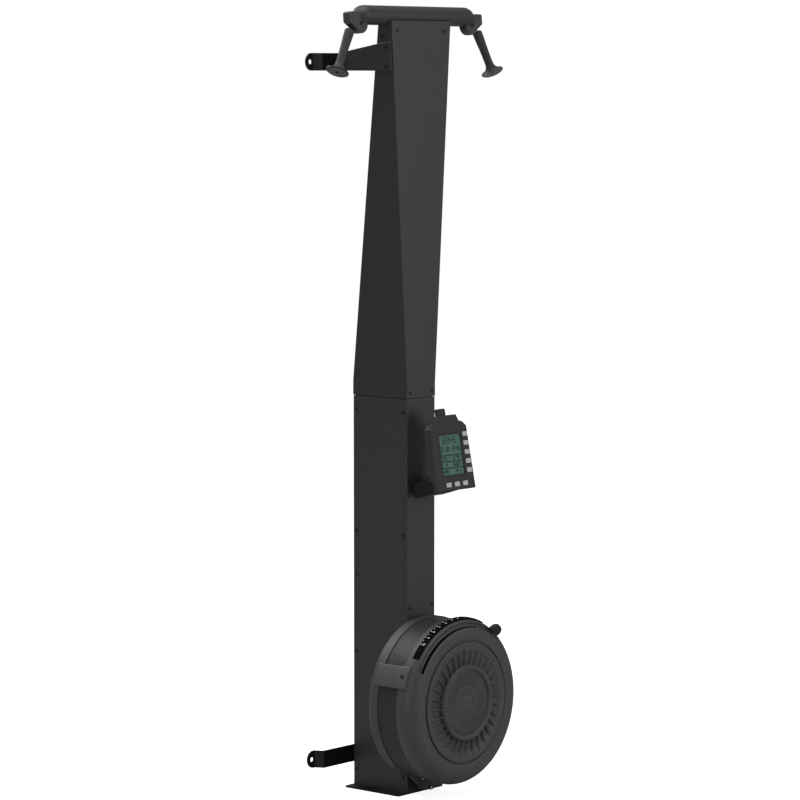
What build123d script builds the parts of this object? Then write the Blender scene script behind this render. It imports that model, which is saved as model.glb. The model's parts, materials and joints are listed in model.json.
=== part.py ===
from build123d import *
from math import atan2, cos, degrees, radians, sin, tan
import os

# Wall-mounted ski ergometer: a tall sheet-metal column that stands on the floor and is
# screwed to two wall studs. A crosshead tube carries two swivelling pulley heads, each with
# a handle on a drive cord. The cords turn an air-braked flywheel in the cage at the foot.
# Millimetres, +Z up, the user stands at -Y and the wall is at +Y.
# The origin is the centre of the base plate's underside.

os.makedirs("parts", exist_ok=True)

SIDES = (("left", -1), ("right", 1))

# Column
COLUMN_WIDTH = 115.0
COLUMN_DEPTH = 193.0
FRONT_Y = -COLUMN_DEPTH / 2
BACK_Y = COLUMN_DEPTH / 2
SHEET = 2.0
BASE_THICK = 5.0
BASE_FLANGE = 37.0
SEAM_Z = 1079.0
SEAM_GAP = 1.5
KINK_Z = 1120.0
TOP_Z = 2091.0
UPPER_WIDTH = 117.0
TOP_WIDTH = 243.5
TOP_DEPTH = 46.0
COVER_THICK = 1.5
COVER_INSET = 10.0
HEM_WIDTH = 3.5
HEM_LENGTH = 9.5
FLANGE_END = 30.0
RETURN_WIDTH = 20.0

# Wall brackets
STUD_SPACING = 406.4
STRAP_HEIGHT = 47.0
STRAP_THICK = 4.0
STRAP_SPAN = 442.0
JOGGLE = 23.0
JOGGLE_START = 181.0
JOGGLE_END = 193.0
LAG_HOLE_R = 7.0
LOWER_BRACKET_Z = 90.5
UPPER_BRACKET_Z = 1982.0
GUSSET_THICK = 4.5

# Crosshead and swivelling pulley heads
TUBE_R = 26.0
TUBE_WALL = 2.5
TUBE_HALF = 205.0
TUBE_Y = FRONT_Y + 26.0
TUBE_Z = 2104.0
HEAD_TILT = 4.0
HEAD_THICK = 26.0
HEAD_GAP = 0.6
PULLEY_X = 228.0
PULLEY_DROP = 22.0
PULLEY_R = 21.0
PULLEY_WIDTH = 10.0
LOBE_R = 27.0
HOOD_REACH = 46.0
HEAD_EDGE = 4.0
NECK_R = 8.0
AXLE_R = 4.0
RUNNING_GAP = 0.05
CORD_R = 2.0
CORD_GAP = 0.3
NOSE_R = 9.0
NOSE_END = 209.5

# Handles, hung along the line where the cord leaves its pulley
SPLAY = 28.0
GRIP_TOP = 32.0
GRIP_END = 158.0
GRIP_TOP_R = 13.0
GRIP_WAIST_R = 11.0
FLARE_START = 126.0
FLARE_R = 31.0
CORE_R = 7.5

# Cord drive inside the column
IDLER_X = 44.0
IDLER_Z = TUBE_Z - 20.0
IDLER_R = 21.5
DRIVE_R = 24.0
LEFT_LANE = FRONT_Y + 18.0
RIGHT_LANE = FRONT_Y + 42.0
HOOK_Z = 1650.0
SHOCK_TOP_Z = 1850.0
SHOCK_END_Z = 1300.0
SHOCK_R = 4.0
SHOCK_X = 54.0
SHOCK_BEND_R = 14.9

# Fan cage; distances forward of the column are written FRONT_Y - distance
FAN_Z = 265.0
SHAFT_R = 8.0
HOUSING_R = 22.0
REAR_R = 222.0
BAND_R = 219.5
SHELL_R = 226.0
SHELL_EDGE_R = 221.5
SHELL_WALL = 3.0
BAND_START = 35.0
BAND_END = 99.0
TAPER_END = 117.0
SHOULDER_START = 126.0
SHOULDER_R = 34.0
FACE_R = 166.0
FACE_DEPTH = 160.0
VANE_OUT_R = 147.0
VANE_IN_R = 104.0
VANE_COUNT = 32
HUB_RING_R = 99.5
DISC_R = 88.0

# Flywheel
HUB_R = 24.0
WEB_R = 150.0
RIM_R = 184.0
RIM_BACK = 44.0
RIM_FRONT = 60.0
BLADE_COUNT = 24
BLADE_LENGTH = 118.0
BLADE_DEPTH = 52.0
BLADE_THICK = 1.6

# Damper scale and band clamps
STRIP_START = -52.0
STRIP_SWEEP = 76.0
STRIP_THICK = 2.6
STRIP_BACK = 123.0
STRIP_BEND = 28.0
CLAMP_ANGLE = 66.5
CLAMP_SWEEP = 16.0
CLAMP_THICK = 4.0
CLAMP_BACK = 17.0
CLAMP_FRONT = 131.0

# Damper lever
SLOT_START = -64.0
SLOT_SWEEP = 107.0
SLOT_BEND = 63.0
LEVER_ANGLE = 33.0
LEVER_BEND = 32.0
LEVER_R = 3.5
LEVER_DEPTH = 20.0
KNOB_R = 19.0
KNOB_CUT = 6.0
KNOB_LIFT = 5.0
KNOB_THICK = 12.0
RING_DEPTH = 145.0
RING_THICK = 2.5
RING_OUT_R = 203.0
RING_IN_R = 176.0

# Monitor
MONITOR_Z = 838.0
MONITOR_DEPTH = 126.0
MONITOR_TILT = 10.0
LCD_CENTRE = (-1.5, 96.0)
LCD_SIZE = (88.0, 108.0)
BUTTON_SIZE = (20.0, 12.5)
BUTTON_GAP = 0.4
BUTTON_SPOTS = [(63.5, y) for y in (148.0, 123.5, 99.0, 74.5, 50.0)]
BUTTON_SPOTS += [(x, 16.0) for x in (-29.5, 5.0, 39.5)]
BEZEL_DEPTH = 12.0
LCD_RECESS = 4.0
POCKET_DEPTH = 6.0
HOUSING_BACK = 27.0
HINGE_UP = 36.0
HINGE_BACK = 15.0
REAR_LOW = 24.5
BARREL_R = 8.0
BARREL_HALF = 47.4
PIN_R = 4.0
CHEEK_HALF = 51.0
CHEEK_NOSE_R = 12.0
CHEEK_THICK = 3.0
ARM_LOW_Z = 814.0
ARM_BACK = 14.0
ARM_BEND = 34.0
ARM_CORNER = 9.0
NECK_HALF = 26.0

# Screws
SCREW_R = 4.2
SCREW_HEIGHT = 2.2


def save(piece, name):
    piece.part.label = name
    export_step(piece.part, f"parts/{name}.step")


def taper(z, low, high):
    """Value at height z of a size that runs straight from the kink to the column's top."""
    return low + (high - low) * (z - KINK_Z) / (TOP_Z - KINK_Z)


def side_plane(side, z):
    """Plane on the tapered outer side of the upper column; local y runs up it."""
    rise = TOP_Z - KINK_Z
    run = (TOP_WIDTH - UPPER_WIDTH) / 2
    slant = (rise**2 + run**2) ** 0.5
    return Plane(
        origin=(side * taper(z, UPPER_WIDTH / 2, TOP_WIDTH / 2), 0, z),
        x_dir=(0, side, 0),
        z_dir=(side * rise / slant, 0, -run / slant),
    )


def fan_plane(angle):
    """Radial plane of the fan at an angle from the top, towards +X; local y is the radius."""
    a = radians(angle)
    return Plane(origin=(0, 0, FAN_Z), x_dir=(0, 1, 0), z_dir=(cos(a), 0, -sin(a)))


FAN_AXIS = Axis((0, 0, FAN_Z), (0, 1, 0))


# ---------------------------------------------------------------- column

with BuildPart() as base_plate:
    with BuildSketch():
        Rectangle(COLUMN_WIDTH + 2 * BASE_FLANGE, COLUMN_DEPTH)
    extrude(amount=BASE_THICK)
    fillet(base_plate.edges().filter_by(Axis.Z), 4)
save(base_plate, "base_plate")

for name, face_y, inward in (("front_channel", FRONT_Y, 1), ("back_channel", BACK_Y, -1)):
    with BuildPart() as channel:
        with BuildSketch(Plane.XY.offset(BASE_THICK)):
            with Locations((0, face_y + inward * SHEET / 2)):
                Rectangle(COLUMN_WIDTH, SHEET)
            hem_x = (COLUMN_WIDTH - HEM_WIDTH) / 2
            flange_x = COLUMN_WIDTH / 2 - HEM_WIDTH + SHEET / 2
            for side in (-1, 1):
                with Locations((side * hem_x, face_y + inward * HEM_LENGTH / 2)):
                    Rectangle(HEM_WIDTH, HEM_LENGTH)
                with Locations((side * flange_x, face_y + inward * FLANGE_END / 2)):
                    Rectangle(SHEET, FLANGE_END)
        extrude(amount=SEAM_Z - BASE_THICK)
        corners = channel.edges().filter_by(Axis.Z).group_by(Axis.Y)
        fillet(corners[0] if inward > 0 else corners[-1], 1.5)
        if inward > 0:
            with BuildSketch(Plane.XZ.offset(-FRONT_Y)):
                with Locations((0, FAN_Z)):
                    Circle(HOUSING_R)
            extrude(amount=-HEM_LENGTH, mode=Mode.SUBTRACT)
    save(channel, name)

for name, side in SIDES:
    with BuildPart() as side_cover:
        with BuildSketch(Plane.YZ.offset(side * (COLUMN_WIDTH / 2 - COVER_THICK))):
            with Locations((0, (BASE_THICK + SEAM_Z) / 2)):
                Rectangle(COLUMN_DEPTH - 2 * COVER_INSET, SEAM_Z - BASE_THICK)
        extrude(amount=side * COVER_THICK)
    save(side_cover, f"side_cover_{name}")

with BuildPart() as upper_front_cover:
    with BuildSketch(Plane.XZ.offset(-FRONT_Y)):
        with BuildLine():
            Polyline(
                (-UPPER_WIDTH / 2, SEAM_Z + SEAM_GAP),
                (UPPER_WIDTH / 2, SEAM_Z + SEAM_GAP),
                (UPPER_WIDTH / 2, KINK_Z),
                (TOP_WIDTH / 2, TOP_Z),
                (-TOP_WIDTH / 2, TOP_Z),
                (-UPPER_WIDTH / 2, KINK_Z),
                close=True,
            )
        make_face()
    extrude(amount=-SHEET)
save(upper_front_cover, "upper_front_cover")


def section(z, width, front, back):
    """Rectangle across the column at height z, between two depths."""
    with BuildSketch(Plane.XY.offset(z)) as face:
        with Locations((0, (front + back) / 2)):
            Rectangle(width, back - front)
    return face.sketch


def column_box(low, high, mode):
    """Sizes (width, front, back) at the kink and at the top give one solid of the upper column."""
    loft([section(KINK_Z, *low), section(TOP_Z, *high)], ruled=True, mode=mode)
    extrude(section(KINK_Z, *low), amount=SEAM_Z + SEAM_GAP - KINK_Z, mode=mode)


with BuildPart() as upper_back_shell:
    shell_front = FRONT_Y + SHEET
    column_box(
        (UPPER_WIDTH, shell_front, BACK_Y),
        (TOP_WIDTH, shell_front, FRONT_Y + TOP_DEPTH),
        Mode.ADD,
    )
    # the hollow behind the returned front flanges
    column_box(
        (UPPER_WIDTH - 2 * SHEET, shell_front + SHEET, BACK_Y - SHEET),
        (TOP_WIDTH - 2 * SHEET, shell_front + SHEET, FRONT_Y + TOP_DEPTH - SHEET),
        Mode.SUBTRACT,
    )
    # the open front between the flanges
    column_box(
        (UPPER_WIDTH - 2 * RETURN_WIDTH, shell_front - 1, shell_front + SHEET + 1),
        (TOP_WIDTH - 3 * RETURN_WIDTH, shell_front - 1, shell_front + SHEET + 1),
        Mode.SUBTRACT,
    )
    # the saddle where the crosshead tube lies
    with BuildSketch(Plane.YZ.offset(-TOP_WIDTH / 2 - 5)):
        with Locations((TUBE_Y, TUBE_Z)):
            Circle(TUBE_R)
    extrude(amount=TOP_WIDTH + 10, mode=Mode.SUBTRACT)
save(upper_back_shell, "upper_back_shell")

# ---------------------------------------------------------------- wall brackets

for name, height in (("lower_wall_bracket", LOWER_BRACKET_Z), ("upper_wall_bracket", UPPER_BRACKET_Z)):
    with BuildPart() as bracket:
        with BuildSketch(Plane.XY.offset(height - STRAP_HEIGHT / 2)):
            for side in (-1, 1):
                with BuildLine():
                    Polyline(
                        (0, BACK_Y),
                        (side * JOGGLE_START, BACK_Y),
                        (side * JOGGLE_END, BACK_Y + JOGGLE),
                        (side * STRAP_SPAN / 2, BACK_Y + JOGGLE),
                        (side * STRAP_SPAN / 2, BACK_Y + JOGGLE + STRAP_THICK),
                        (side * (JOGGLE_END - 2), BACK_Y + JOGGLE + STRAP_THICK),
                        (side * (JOGGLE_START - 2), BACK_Y + STRAP_THICK),
                        (0, BACK_Y + STRAP_THICK),
                        close=True,
                    )
                make_face()
        extrude(amount=STRAP_HEIGHT)
        with BuildSketch(Plane.XZ.offset(-BACK_Y)):
            with Locations((0, height)):
                SlotOverall(STRAP_SPAN, STRAP_HEIGHT)
        extrude(amount=-(JOGGLE + STRAP_THICK), mode=Mode.INTERSECT)
        with BuildSketch(Plane.XZ.offset(-BACK_Y)):
            with Locations((-STUD_SPACING / 2, height), (STUD_SPACING / 2, height)):
                Circle(LAG_HOLE_R)
        extrude(amount=-(JOGGLE + STRAP_THICK), mode=Mode.SUBTRACT)
    save(bracket, name)

# The gusset plates lie on the tapered sides and reach back to the upper strap.
with BuildPart() as bracket_gussets:
    for side in (-1, 1):
        with BuildSketch(side_plane(side, UPPER_BRACKET_Z)):
            with BuildLine():
                FilletPolyline(
                    (side * (FRONT_Y + 3), -26),
                    (side * (FRONT_Y + 3), 54),
                    (side * (FRONT_Y + 50), 48),
                    (side * BACK_Y, 23.5),
                    (side * BACK_Y, -23.5),
                    (side * (FRONT_Y + 60), -23.5),
                    radius=5,
                    close=True,
                )
            make_face()
        extrude(amount=GUSSET_THICK)
        outer = bracket_gussets.faces().sort_by(Axis.X)[0 if side < 0 else -1]
        fillet(outer.edges(), 1.5)
save(bracket_gussets, "bracket_gussets")

# ---------------------------------------------------------------- crosshead

tube_axis_plane = Plane(origin=(0, TUBE_Y, TUBE_Z), x_dir=(0, 1, 0), z_dir=(1, 0, 0))

with BuildPart() as crosshead_tube:
    with BuildSketch(tube_axis_plane.offset(-TUBE_HALF)):
        Circle(TUBE_R)
        Circle(TUBE_R - TUBE_WALL, mode=Mode.SUBTRACT)
    extrude(amount=2 * TUBE_HALF)
    # slot underneath for the two idler pulleys, and the holes of their axles
    with BuildSketch(Plane.XY.offset(TUBE_Z - TUBE_R)):
        with Locations((0, TUBE_Y)):
            Rectangle(2 * (IDLER_X + IDLER_R + 2), 16)
    extrude(amount=TUBE_R - 2, mode=Mode.SUBTRACT)
    with BuildSketch(Plane.XZ.offset(-TUBE_Y)):
        with Locations((-IDLER_X, IDLER_Z), (IDLER_X, IDLER_Z)):
            Circle(AXLE_R)
    extrude(amount=TUBE_R, both=True, mode=Mode.SUBTRACT)
save(crosshead_tube, "crosshead_tube")

with BuildPart() as crosshead_saddles:
    for x in (-88, 82):
        with BuildSketch(Plane.YZ.offset(x)):
            with Locations((FRONT_Y + 24, TUBE_Z - 38)):
                Rectangle(38, 52)
            with Locations((TUBE_Y, TUBE_Z)):
                Circle(TUBE_R, mode=Mode.SUBTRACT)
        extrude(amount=6)
save(crosshead_saddles, "crosshead_saddles")

# Bushings close the tube's ends; the heads turn on their noses and the cords pass through.
with BuildPart() as tube_bushings:
    for side in (-1, 1):
        with BuildSketch(Plane(origin=(0, TUBE_Y, TUBE_Z), x_dir=(1, 0, 0), z_dir=(0, -1, 0))):
            with BuildLine():
                Polyline(
                    (side * (TUBE_HALF - 22), CORD_R + 2),
                    (side * (TUBE_HALF - 22), TUBE_R - TUBE_WALL),
                    (side * TUBE_HALF, TUBE_R - TUBE_WALL),
                    (side * TUBE_HALF, NOSE_R),
                    (side * NOSE_END, NOSE_R),
                    (side * NOSE_END, CORD_R + 2),
                    close=True,
                )
            make_face()
        revolve(axis=Axis((0, TUBE_Y, TUBE_Z), (1, 0, 0)))
save(tube_bushings, "tube_bushings")

# ---------------------------------------------------------------- pulley heads and handles

tilt = radians(HEAD_TILT)
splay = radians(SPLAY)
head_plane = Plane(origin=(0, TUBE_Y, TUBE_Z), x_dir=(1, 0, 0), z_dir=(0, -cos(tilt), sin(tilt)))
tube_axis = Axis((0, TUBE_Y, TUBE_Z), (1, 0, 0))
head_axis = Axis(head_plane.origin, head_plane.z_dir)


def head_room(side):
    """Room inside a head for its pulley, and for the cord on its way out of the mouth."""
    with BuildSketch(head_plane) as room:
        with Locations((side * PULLEY_X, -PULLEY_DROP)):
            Circle(PULLEY_R + 1.5)
        with BuildLine():
            Polyline(
                (side * (PULLEY_X - 12), 6),
                (side * (PULLEY_X + 12), 6),
                (side * (PULLEY_X + 30), -10),
                (side * (PULLEY_X + 46), -40),
                (side * (PULLEY_X + 26), -50),
                (side * PULLEY_X, -20),
                close=True,
            )
        make_face()
    return room.sketch


for name, side in SIDES:
    for half, keep in (("front", Keep.TOP), ("back", Keep.BOTTOM)):
        with BuildPart() as head_shell:
            # round lobe about the pulley and the hood over the cord's way out
            with BuildSketch(head_plane.offset(-HEAD_THICK / 2)):
                with Locations((side * PULLEY_X, -PULLEY_DROP)):
                    Circle(LOBE_R)
                with BuildLine():
                    FilletPolyline(
                        (side * (PULLEY_X + 2), -10),
                        (side * (PULLEY_X + 6), 8),
                        (side * (PULLEY_X + HOOD_REACH), 8),
                        (side * (PULLEY_X + HOOD_REACH), -20),
                        (side * (PULLEY_X + 3), -48),
                        radius=6,
                        close=True,
                    )
                make_face()
                # out and back in, which rounds the necks between lobe and hood
                offset(amount=NECK_R, kind=Kind.ARC)
                offset(amount=-NECK_R, kind=Kind.ARC)
            extrude(amount=HEAD_THICK)
            across = head_shell.faces().sort_by(head_axis)
            fillet(across[0].edges() + across[-1].edges(), HEAD_EDGE)
            # dome that turns on the tube's end
            with BuildSketch(Plane(origin=(0, TUBE_Y, TUBE_Z), x_dir=(1, 0, 0), z_dir=(0, -1, 0))):
                with BuildLine():
                    ThreePointArc(
                        (side * (TUBE_HALF + HEAD_GAP), TUBE_R),
                        (side * (TUBE_HALF + 24), 19),
                        (side * (TUBE_HALF + 38), 5),
                    )
                    Polyline(
                        (side * (TUBE_HALF + 38), 5),
                        (side * (TUBE_HALF + 38), 0),
                        (side * (TUBE_HALF + HEAD_GAP), 0),
                        (side * (TUBE_HALF + HEAD_GAP), TUBE_R),
                    )
                make_face()
            revolve(axis=tube_axis)
            # clearance round the tube's end
            with BuildSketch(tube_axis_plane.offset(side * (TUBE_HALF - 40))):
                Circle(TUBE_R + HEAD_GAP)
            extrude(amount=side * (40 + HEAD_GAP), mode=Mode.SUBTRACT)
            # running bore for the bushing's nose
            with BuildSketch(tube_axis_plane.offset(side * TUBE_HALF)):
                Circle(NOSE_R + RUNNING_GAP)
            extrude(amount=side * (NOSE_END - TUBE_HALF + 1), mode=Mode.SUBTRACT)
            extrude(head_room(side), amount=PULLEY_WIDTH / 2 + 1, both=True, mode=Mode.SUBTRACT)
            # cord way from the nose to the top of the pulley
            with BuildSketch(tube_axis_plane.offset(side * TUBE_HALF)):
                Circle(CORD_R + 2)
            extrude(amount=side * 25, mode=Mode.SUBTRACT)
            # axle hole
            with BuildSketch(head_plane):
                with Locations((side * PULLEY_X, -PULLEY_DROP)):
                    Circle(AXLE_R)
            extrude(amount=HEAD_THICK, both=True, mode=Mode.SUBTRACT)
            split(bisect_by=head_plane, keep=keep)
        save(head_shell, f"head_{half}_shell_{name}")

    with BuildPart() as head_axle:
        with BuildSketch(head_plane.offset(-HEAD_THICK / 2)):
            with Locations((side * PULLEY_X, -PULLEY_DROP)):
                Circle(AXLE_R)
        extrude(amount=HEAD_THICK)
        for lift, height in ((HEAD_THICK / 2, 2), (-HEAD_THICK / 2, -2)):
            with BuildSketch(head_plane.offset(lift)):
                with Locations((side * PULLEY_X, -PULLEY_DROP)):
                    Circle(AXLE_R + 2)
            extrude(amount=height)
        with BuildSketch(head_plane.offset(HEAD_THICK / 2 + 2)):
            with Locations((side * PULLEY_X, -PULLEY_DROP)):
                RegularPolygon(3, 6)
        extrude(amount=-2, mode=Mode.SUBTRACT)
    save(head_axle, f"head_axle_{name}")

    with BuildPart() as head_pulley:
        pulley_centre = head_plane.from_local_coords(Vector(side * PULLEY_X, -PULLEY_DROP, 0))
        pulley_plane = Plane(origin=pulley_centre, x_dir=head_plane.z_dir, z_dir=(1, 0, 0))
        with BuildSketch(pulley_plane):
            with BuildLine():
                groove_r = PULLEY_DROP - CORD_R - CORD_GAP
                Polyline(
                    (-PULLEY_WIDTH / 2, AXLE_R + RUNNING_GAP),
                    (-PULLEY_WIDTH / 2, PULLEY_R),
                    (-CORD_R - 1.4, PULLEY_R),
                    (-CORD_R, groove_r),
                    (CORD_R, groove_r),
                    (CORD_R + 1.4, PULLEY_R),
                    (PULLEY_WIDTH / 2, PULLEY_R),
                    (PULLEY_WIDTH / 2, AXLE_R + RUNNING_GAP),
                    close=True,
                )
            make_face()
        revolve(axis=Axis(pulley_centre, head_plane.z_dir))
    save(head_pulley, f"head_pulley_{name}")

    # the handle's own axis starts where the cord leaves the pulley
    leave = head_plane.from_local_coords(
        Vector(side * (PULLEY_X + PULLEY_DROP * cos(splay)), PULLEY_DROP * (sin(splay) - 1), 0)
    )
    along = Vector(side * sin(splay), -cos(splay) * sin(tilt), -cos(splay) * cos(tilt))
    handle_plane = Plane(origin=leave, x_dir=along, z_dir=head_plane.z_dir)
    handle_axis = Axis(leave, along)

    with BuildPart() as handle_grip:
        with BuildSketch(handle_plane):
            with BuildLine():
                Polyline(
                    (GRIP_END - 4, CORE_R),
                    (GRIP_TOP, CORE_R),
                    (GRIP_TOP, GRIP_TOP_R - 2),
                    (GRIP_TOP + 2, GRIP_TOP_R),
                )
                Spline(
                    (GRIP_TOP + 2, GRIP_TOP_R),
                    (GRIP_TOP + 45, GRIP_WAIST_R + 0.6),
                    (FLARE_START, GRIP_WAIST_R),
                )
                ThreePointArc(
                    (FLARE_START, GRIP_WAIST_R),
                    (FLARE_START + 20.5, GRIP_WAIST_R + 5),
                    (GRIP_END - 4, FLARE_R),
                )
                Line((GRIP_END - 4, FLARE_R), (GRIP_END - 4, CORE_R))
            make_face()
        revolve(axis=handle_axis)
    save(handle_grip, f"handle_grip_{name}")

    with BuildPart() as handle_core:
        with BuildSketch(handle_plane):
            with BuildLine():
                Polyline(
                    (GRIP_TOP, CORD_R),
                    (GRIP_TOP, CORE_R),
                    (GRIP_END - 4, CORE_R),
                    (GRIP_END - 4, FLARE_R),
                    (GRIP_END - 2, FLARE_R),
                    (GRIP_END, FLARE_R - 3),
                    (GRIP_END, 5),
                    (GRIP_END - 20, 5),
                    (GRIP_END - 20, CORD_R),
                    close=True,
                )
            make_face()
        revolve(axis=handle_axis)
    save(handle_core, f"handle_core_{name}")

    with BuildPart() as cord_end:
        with BuildSketch(handle_plane):
            with BuildLine():
                Polyline(
                    (3, 0),
                    (3, CORD_R),
                    (GRIP_END - 20, CORD_R),
                    (GRIP_END - 20, 4.6),
                    (GRIP_END - 11, 4.6),
                    (GRIP_END - 11, 0),
                    close=True,
                )
            make_face()
        revolve(axis=handle_axis)
    save(cord_end, f"cord_end_{name}")

# ---------------------------------------------------------------- cord drive inside the column

with BuildPart() as idler_axles:
    for side in (-1, 1):
        with BuildSketch(Plane.XZ.offset(-TUBE_Y)):
            with Locations((side * IDLER_X, IDLER_Z)):
                Circle(AXLE_R)
        extrude(amount=16.5, both=True)
save(idler_axles, "idler_axles")

for name, side in SIDES:
    with BuildPart() as idler_pulley:
        with BuildSketch(Plane(origin=(side * IDLER_X, TUBE_Y, IDLER_Z), x_dir=(0, 1, 0), z_dir=(1, 0, 0))):
            with BuildLine():
                groove_r = TUBE_Z - IDLER_Z - CORD_R - CORD_GAP
                Polyline(
                    (-PULLEY_WIDTH / 2, AXLE_R + RUNNING_GAP),
                    (-PULLEY_WIDTH / 2, IDLER_R),
                    (-CORD_R - 1.4, IDLER_R),
                    (-CORD_R, groove_r),
                    (CORD_R, groove_r),
                    (CORD_R + 1.4, IDLER_R),
                    (PULLEY_WIDTH / 2, IDLER_R),
                    (PULLEY_WIDTH / 2, AXLE_R + RUNNING_GAP),
                    close=True,
                )
            make_face()
        revolve(axis=Axis((side * IDLER_X, TUBE_Y, IDLER_Z), (0, 1, 0)))
    save(idler_pulley, f"idler_pulley_{name}")

# Each drive cord runs along the tube, over its idler, down the column, half a turn under its
# drive pulley and up to the hook of its shock cord. Both come down on the pulleys' left side,
# so that both turn the shaft the same way; the right one crosses the column as it drops.
cross_angle = degrees(atan2(2 * DRIVE_R, IDLER_Z - FAN_Z))
cross_idler_x = IDLER_X - (TUBE_Z - IDLER_Z) * tan(radians(45 - cross_angle / 2))
cross_drive_x = DRIVE_R * tan(radians(45 + cross_angle / 2))

with BuildPart() as drive_cords:
    for side, lane, top_x, foot_x in (
        (-1, LEFT_LANE, -DRIVE_R, -DRIVE_R),
        (1, RIGHT_LANE, cross_idler_x, -cross_drive_x),
    ):
        with BuildLine() as route:
            FilletPolyline(
                (side * (PULLEY_X - 2), TUBE_Y, TUBE_Z),
                (top_x, TUBE_Y, TUBE_Z),
                (foot_x, lane, FAN_Z - DRIVE_R),
                (DRIVE_R, lane, FAN_Z - DRIVE_R),
                (DRIVE_R, lane, HOOK_Z),
                radius=[TUBE_Z - IDLER_Z, DRIVE_R - 0.1, DRIVE_R - 0.1],
            )
        with BuildSketch(Plane(origin=(side * (PULLEY_X - 2), TUBE_Y, TUBE_Z), z_dir=(-side, 0, 0))):
            Circle(CORD_R)
        sweep(path=route.line)
save(drive_cords, "drive_cords")

with BuildPart() as shock_cords:
    for lane in (LEFT_LANE, RIGHT_LANE):
        with BuildLine() as route:
            FilletPolyline(
                (DRIVE_R, lane, HOOK_Z),
                (DRIVE_R, lane, SHOCK_TOP_Z),
                (SHOCK_X, lane, SHOCK_TOP_Z),
                (SHOCK_X, lane, SHOCK_END_Z),
                radius=[SHOCK_BEND_R, SHOCK_BEND_R],
            )
        with BuildSketch(Plane.XY.offset(HOOK_Z)):
            with Locations((DRIVE_R, lane)):
                Circle(SHOCK_R)
        sweep(path=route.line)
save(shock_cords, "shock_cords")

# One pin holds both shock-cord sheaves; one block anchors both far ends.
with BuildPart() as shock_cord_guides:
    for lane in (LEFT_LANE, RIGHT_LANE):
        with BuildSketch(Plane.XZ.offset(7 - lane)):
            with Locations(((DRIVE_R + SHOCK_X) / 2, SHOCK_TOP_Z - SHOCK_BEND_R)):
                Circle(SHOCK_BEND_R - SHOCK_R - CORD_GAP)
        extrude(amount=-14)
    with BuildSketch(Plane.XZ.offset(-(FRONT_Y + SHEET))):
        with Locations(((DRIVE_R + SHOCK_X) / 2, SHOCK_TOP_Z - SHOCK_BEND_R)):
            Circle(5)
    extrude(amount=FRONT_Y + SHEET - RIGHT_LANE - 10)
    with BuildSketch(Plane.XY.offset(SHOCK_END_Z)):
        with Locations((SHOCK_X + 2, (LEFT_LANE + RIGHT_LANE) / 2)):
            Rectangle(20, 44)
    extrude(amount=-12)
save(shock_cord_guides, "shock_cord_guides")

for name, lane in (("left", LEFT_LANE), ("right", RIGHT_LANE)):
    with BuildPart() as drive_pulley:
        with BuildSketch(fan_plane(0)):
            with BuildLine():
                groove_r = DRIVE_R - CORD_R - CORD_GAP
                Polyline(
                    (lane - 6, SHAFT_R + RUNNING_GAP),
                    (lane - 6, DRIVE_R + 4),
                    (lane - CORD_R - 2.5, DRIVE_R + 4),
                    (lane - CORD_R - 0.6, groove_r),
                    (lane + CORD_R + 0.6, groove_r),
                    (lane + CORD_R + 2.5, DRIVE_R + 4),
                    (lane + 6, DRIVE_R + 4),
                    (lane + 6, SHAFT_R + RUNNING_GAP),
                    close=True,
                )
            make_face()
        revolve(axis=FAN_AXIS)
    save(drive_pulley, f"drive_pulley_{name}")

with BuildPart() as shaft_bearings:
    with BuildSketch(Plane.XZ.offset(-FRONT_Y)):
        with Locations((0, FAN_Z)):
            Circle(HOUSING_R)
            Circle(SHAFT_R + RUNNING_GAP, mode=Mode.SUBTRACT)
    extrude(amount=-10)
    with BuildSketch(Plane.XZ.offset(-(FRONT_Y + 56))):
        with Locations((0, FAN_Z)):
            Rectangle(COLUMN_WIDTH - 2 * COVER_THICK, 44)
            Circle(SHAFT_R + RUNNING_GAP, mode=Mode.SUBTRACT)
    extrude(amount=-10)
save(shaft_bearings, "shaft_bearings")

# ---------------------------------------------------------------- flywheel

with BuildPart() as fan_shaft:
    with BuildSketch(Plane.XZ.offset(-(FRONT_Y + 70))):
        with Locations((0, FAN_Z)):
            Circle(SHAFT_R)
    extrude(amount=70 + 128)
save(fan_shaft, "fan_shaft")

with BuildPart() as flywheel:
    with BuildSketch(fan_plane(0)):
        with BuildLine():
            Polyline(
                (FRONT_Y - 20, SHAFT_R),
                (FRONT_Y - 20, HUB_R),
                (FRONT_Y - RIM_FRONT + 8, HUB_R),
                (FRONT_Y - RIM_FRONT + 4, WEB_R),
                (FRONT_Y - RIM_BACK, WEB_R),
                (FRONT_Y - RIM_BACK, RIM_R),
                (FRONT_Y - RIM_FRONT, RIM_R),
                (FRONT_Y - RIM_FRONT, HUB_R),
                (FRONT_Y - 2 * RIM_FRONT, HUB_R - 6),
                (FRONT_Y - 2 * RIM_FRONT, SHAFT_R),
                close=True,
            )
        make_face()
    revolve(axis=FAN_AXIS)
    with BuildSketch(Plane.XZ.offset(-(FRONT_Y - RIM_FRONT))):
        with Locations((0, FAN_Z)):
            with PolarLocations(RIM_R - 5 - BLADE_LENGTH / 2, BLADE_COUNT):
                Rectangle(BLADE_LENGTH, BLADE_THICK)
    extrude(amount=BLADE_DEPTH)
save(flywheel, "flywheel")

# ---------------------------------------------------------------- fan cage

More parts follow.
